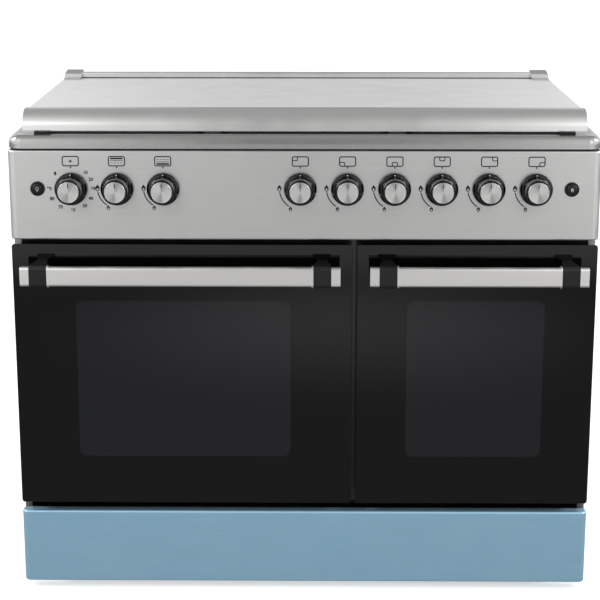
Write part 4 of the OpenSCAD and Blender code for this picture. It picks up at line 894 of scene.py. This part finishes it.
def door_pane(name, node, window_node, window_mm):
    """Outer glass with a ground edge and a window centred on the inner glass."""
    low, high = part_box(node)
    seat_low, seat_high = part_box(window_node)
    cx, cz = (seat_low[0] + seat_high[0]) / 2, (seat_low[2] + seat_high[2]) / 2
    half_w, half_h = window_mm[0] * MM / 2, window_mm[1] * MM / 2
    edge, corner, window_corner = 0.9 * MM, 5 * MM, 14 * MM
    window = frame_points(cx - half_w, cx + half_w, cz - half_h, cz + half_h, window_corner)
    front, back = low[1], high[1]
    levels = [(edge, front), (edge / 4, front + 0.3 * edge), (0, front + edge),
              (0, back - edge), (edge / 4, back - 0.3 * edge), (edge, back)]
    bm = bmesh.new()
    rings = []
    for inset, y in levels:
        line = frame_points(low[0] + inset, high[0] - inset, low[2] + inset, high[2] - inset,
                            corner - inset)
        rings.append([bm.verts.new((x, y, z)) for x, z in line])
    for a, b in zip(rings, rings[1:]):
        ring_faces(bm, a, b)
    for ring, y in ((rings[0], front), (rings[-1], back)):
        inner = [bm.verts.new((x, y, z)) for x, z in window]
        ring_faces(bm, ring, inner)
        bm.faces.new(inner).material_index = 1
    return finish_mesh(name, bm, door_print, door_window)


WINDOW_H = 281
for door, window_w in (("oven_door", 369), ("cabinet_door", 236)):
    name = door + "_pane"
    pane = show(name, door_pane(name, door + "_glass", door + "_inner_glass", (window_w, WINDOW_H)))
    placed(pane, door, "black_glass", door + "_glass")
    print(name, "with a window", window_w, "mm wide")

# %% [markdown]
# Where the rear rail of the lid meets the glass, a thin black strip is laid along the rail.

# %% Black strip of the lid
LINE_H, LINE_D = 1.8, 1.2
RAIL_D = 12.0
rail_low, rail_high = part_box("lid_rear_rail")
_, glass_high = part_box("lid_glass")
line_section = rounded([(-LINE_D, 0), (0, 0), (0, LINE_H), (-LINE_D / 3, LINE_H)], 0.3, closed=True)
bm = bmesh.new()
ends = [[bm.verts.new((x, rail_high[1] + (y - RAIL_D) * MM, glass_high[2] + z * MM))
         for y, z in line_section] for x in (rail_low[0], rail_high[0])]
ring_faces(bm, *ends)
bm.faces.new(ends[0])
bm.faces.new(ends[1][::-1])
line = show("lid_black_strip", finish_mesh("lid_black_strip", bm, rubber_and_seam_shade))
placed(line, "lid", "black_silicone")
print("black strip", round((rail_high[0] - rail_low[0]) / MM), "mm long")

# %% [markdown]
# The pieces whose CAD shape is right keep it. They only get their finish, and a fine bevel where
# a real edge would catch the light. The folded frames of the doors get the dull black of the rubber
# seals beside them, and the front frame a near-black enamel. Both show only in the seams, and their
# black partly stands in for the shade of those deep gaps, as painted shade.

# %% Finish of the kept pieces
def dress(material, *names, edge_mm=0.0):
    """Gives CAD nodes a material, and a bevel of a real width if they need one."""
    for name in names:
        piece = nodes[name]
        piece.data.materials.clear()
        piece.data.materials.append(material)
        if edge_mm:
            bevel = piece.modifiers.new("edge", "BEVEL")
            bevel.width = edge_mm * MM
            bevel.segments = 2
            bevel.limit_method = "ANGLE"
            bevel.angle_limit = math.radians(40)
            bevel.harden_normals = True


GAS = ["grill", "oven"] + [str(n) for n in range(1, 7)]
dress(side_steel, "side_panels")
dress(zinc_sheet, "back_panel", "base_pan", "deck_plate", "drawer_box")
dress(frame_enamel_and_seam_shade, "front_frame")
dress(hob_steel, "hob_top")
dress(foot_plastic, "levelling_feet", edge_mm=0.5)
dress(oven_enamel, "oven_liner")
dress(wool, "oven_insulation")
dress(aluminised, "oven_burners")
dress(chrome_wire, "oven_rack")
dress(lamp_glass, "oven_lamp")
dress(cabinet_enamel, "cabinet_liner")
dress(iron_enamel, "pan_supports", edge_mm=1.0)
dress(cast_aluminium, "burner_heads", edge_mm=0.3)
dress(cap_enamel, "burner_caps", edge_mm=0.8)
dress(ceramic, "spark_electrodes")
dress(pipe_metal, "gas_pipes")
dress(brass, "gas_taps", *["spindle_" + g for g in GAS])
dress(unit_plastic, "control_units")
dress(rubber_and_seam_shade, "rubber_seals", edge_mm=0.5)
dress(hinge_metal, "door_hinge_brackets", "lid_hinge_posts", edge_mm=0.4)
dress(gland_plastic, "cable_gland", edge_mm=0.4)
dress(lid_glass, "lid_glass")
dress(trim_steel, "lid_trim", "lid_rear_rail")
dress(clamp_metal, "lid_clamps", edge_mm=0.9)
# Painted seam shade: the door frames take the black of the seals.
dress(rubber_and_seam_shade, "oven_door_frame", "cabinet_door_frame")
dress(inner_glass, "oven_door_inner_glass", "cabinet_door_inner_glass")
dress(handle_metal, "oven_handle_bar", "cabinet_handle_bar")
dress(handle_plastic, "oven_handle_brackets", "cabinet_handle_brackets", edge_mm=0.6)
print("pieces with a material:", sum(1 for piece in nodes.values() if piece.data.materials))

# %% [markdown]
# Where a broad flat face meets a small bend, smooth shading would tilt the light over the whole
# face, and a door would look like a cushion. Normals weighted by area keep broad faces flat.

# %% Flat faces stay flat
built = [piece for piece in bpy.context.scene.objects
         if piece.type == "MESH" and piece.name not in nodes and piece is not floor]
for piece in built:
    weighted = piece.modifiers.new("flat_faces", "WEIGHTED_NORMAL")
    weighted.keep_sharp = True
print("built pieces with weighted normals:", len(built))
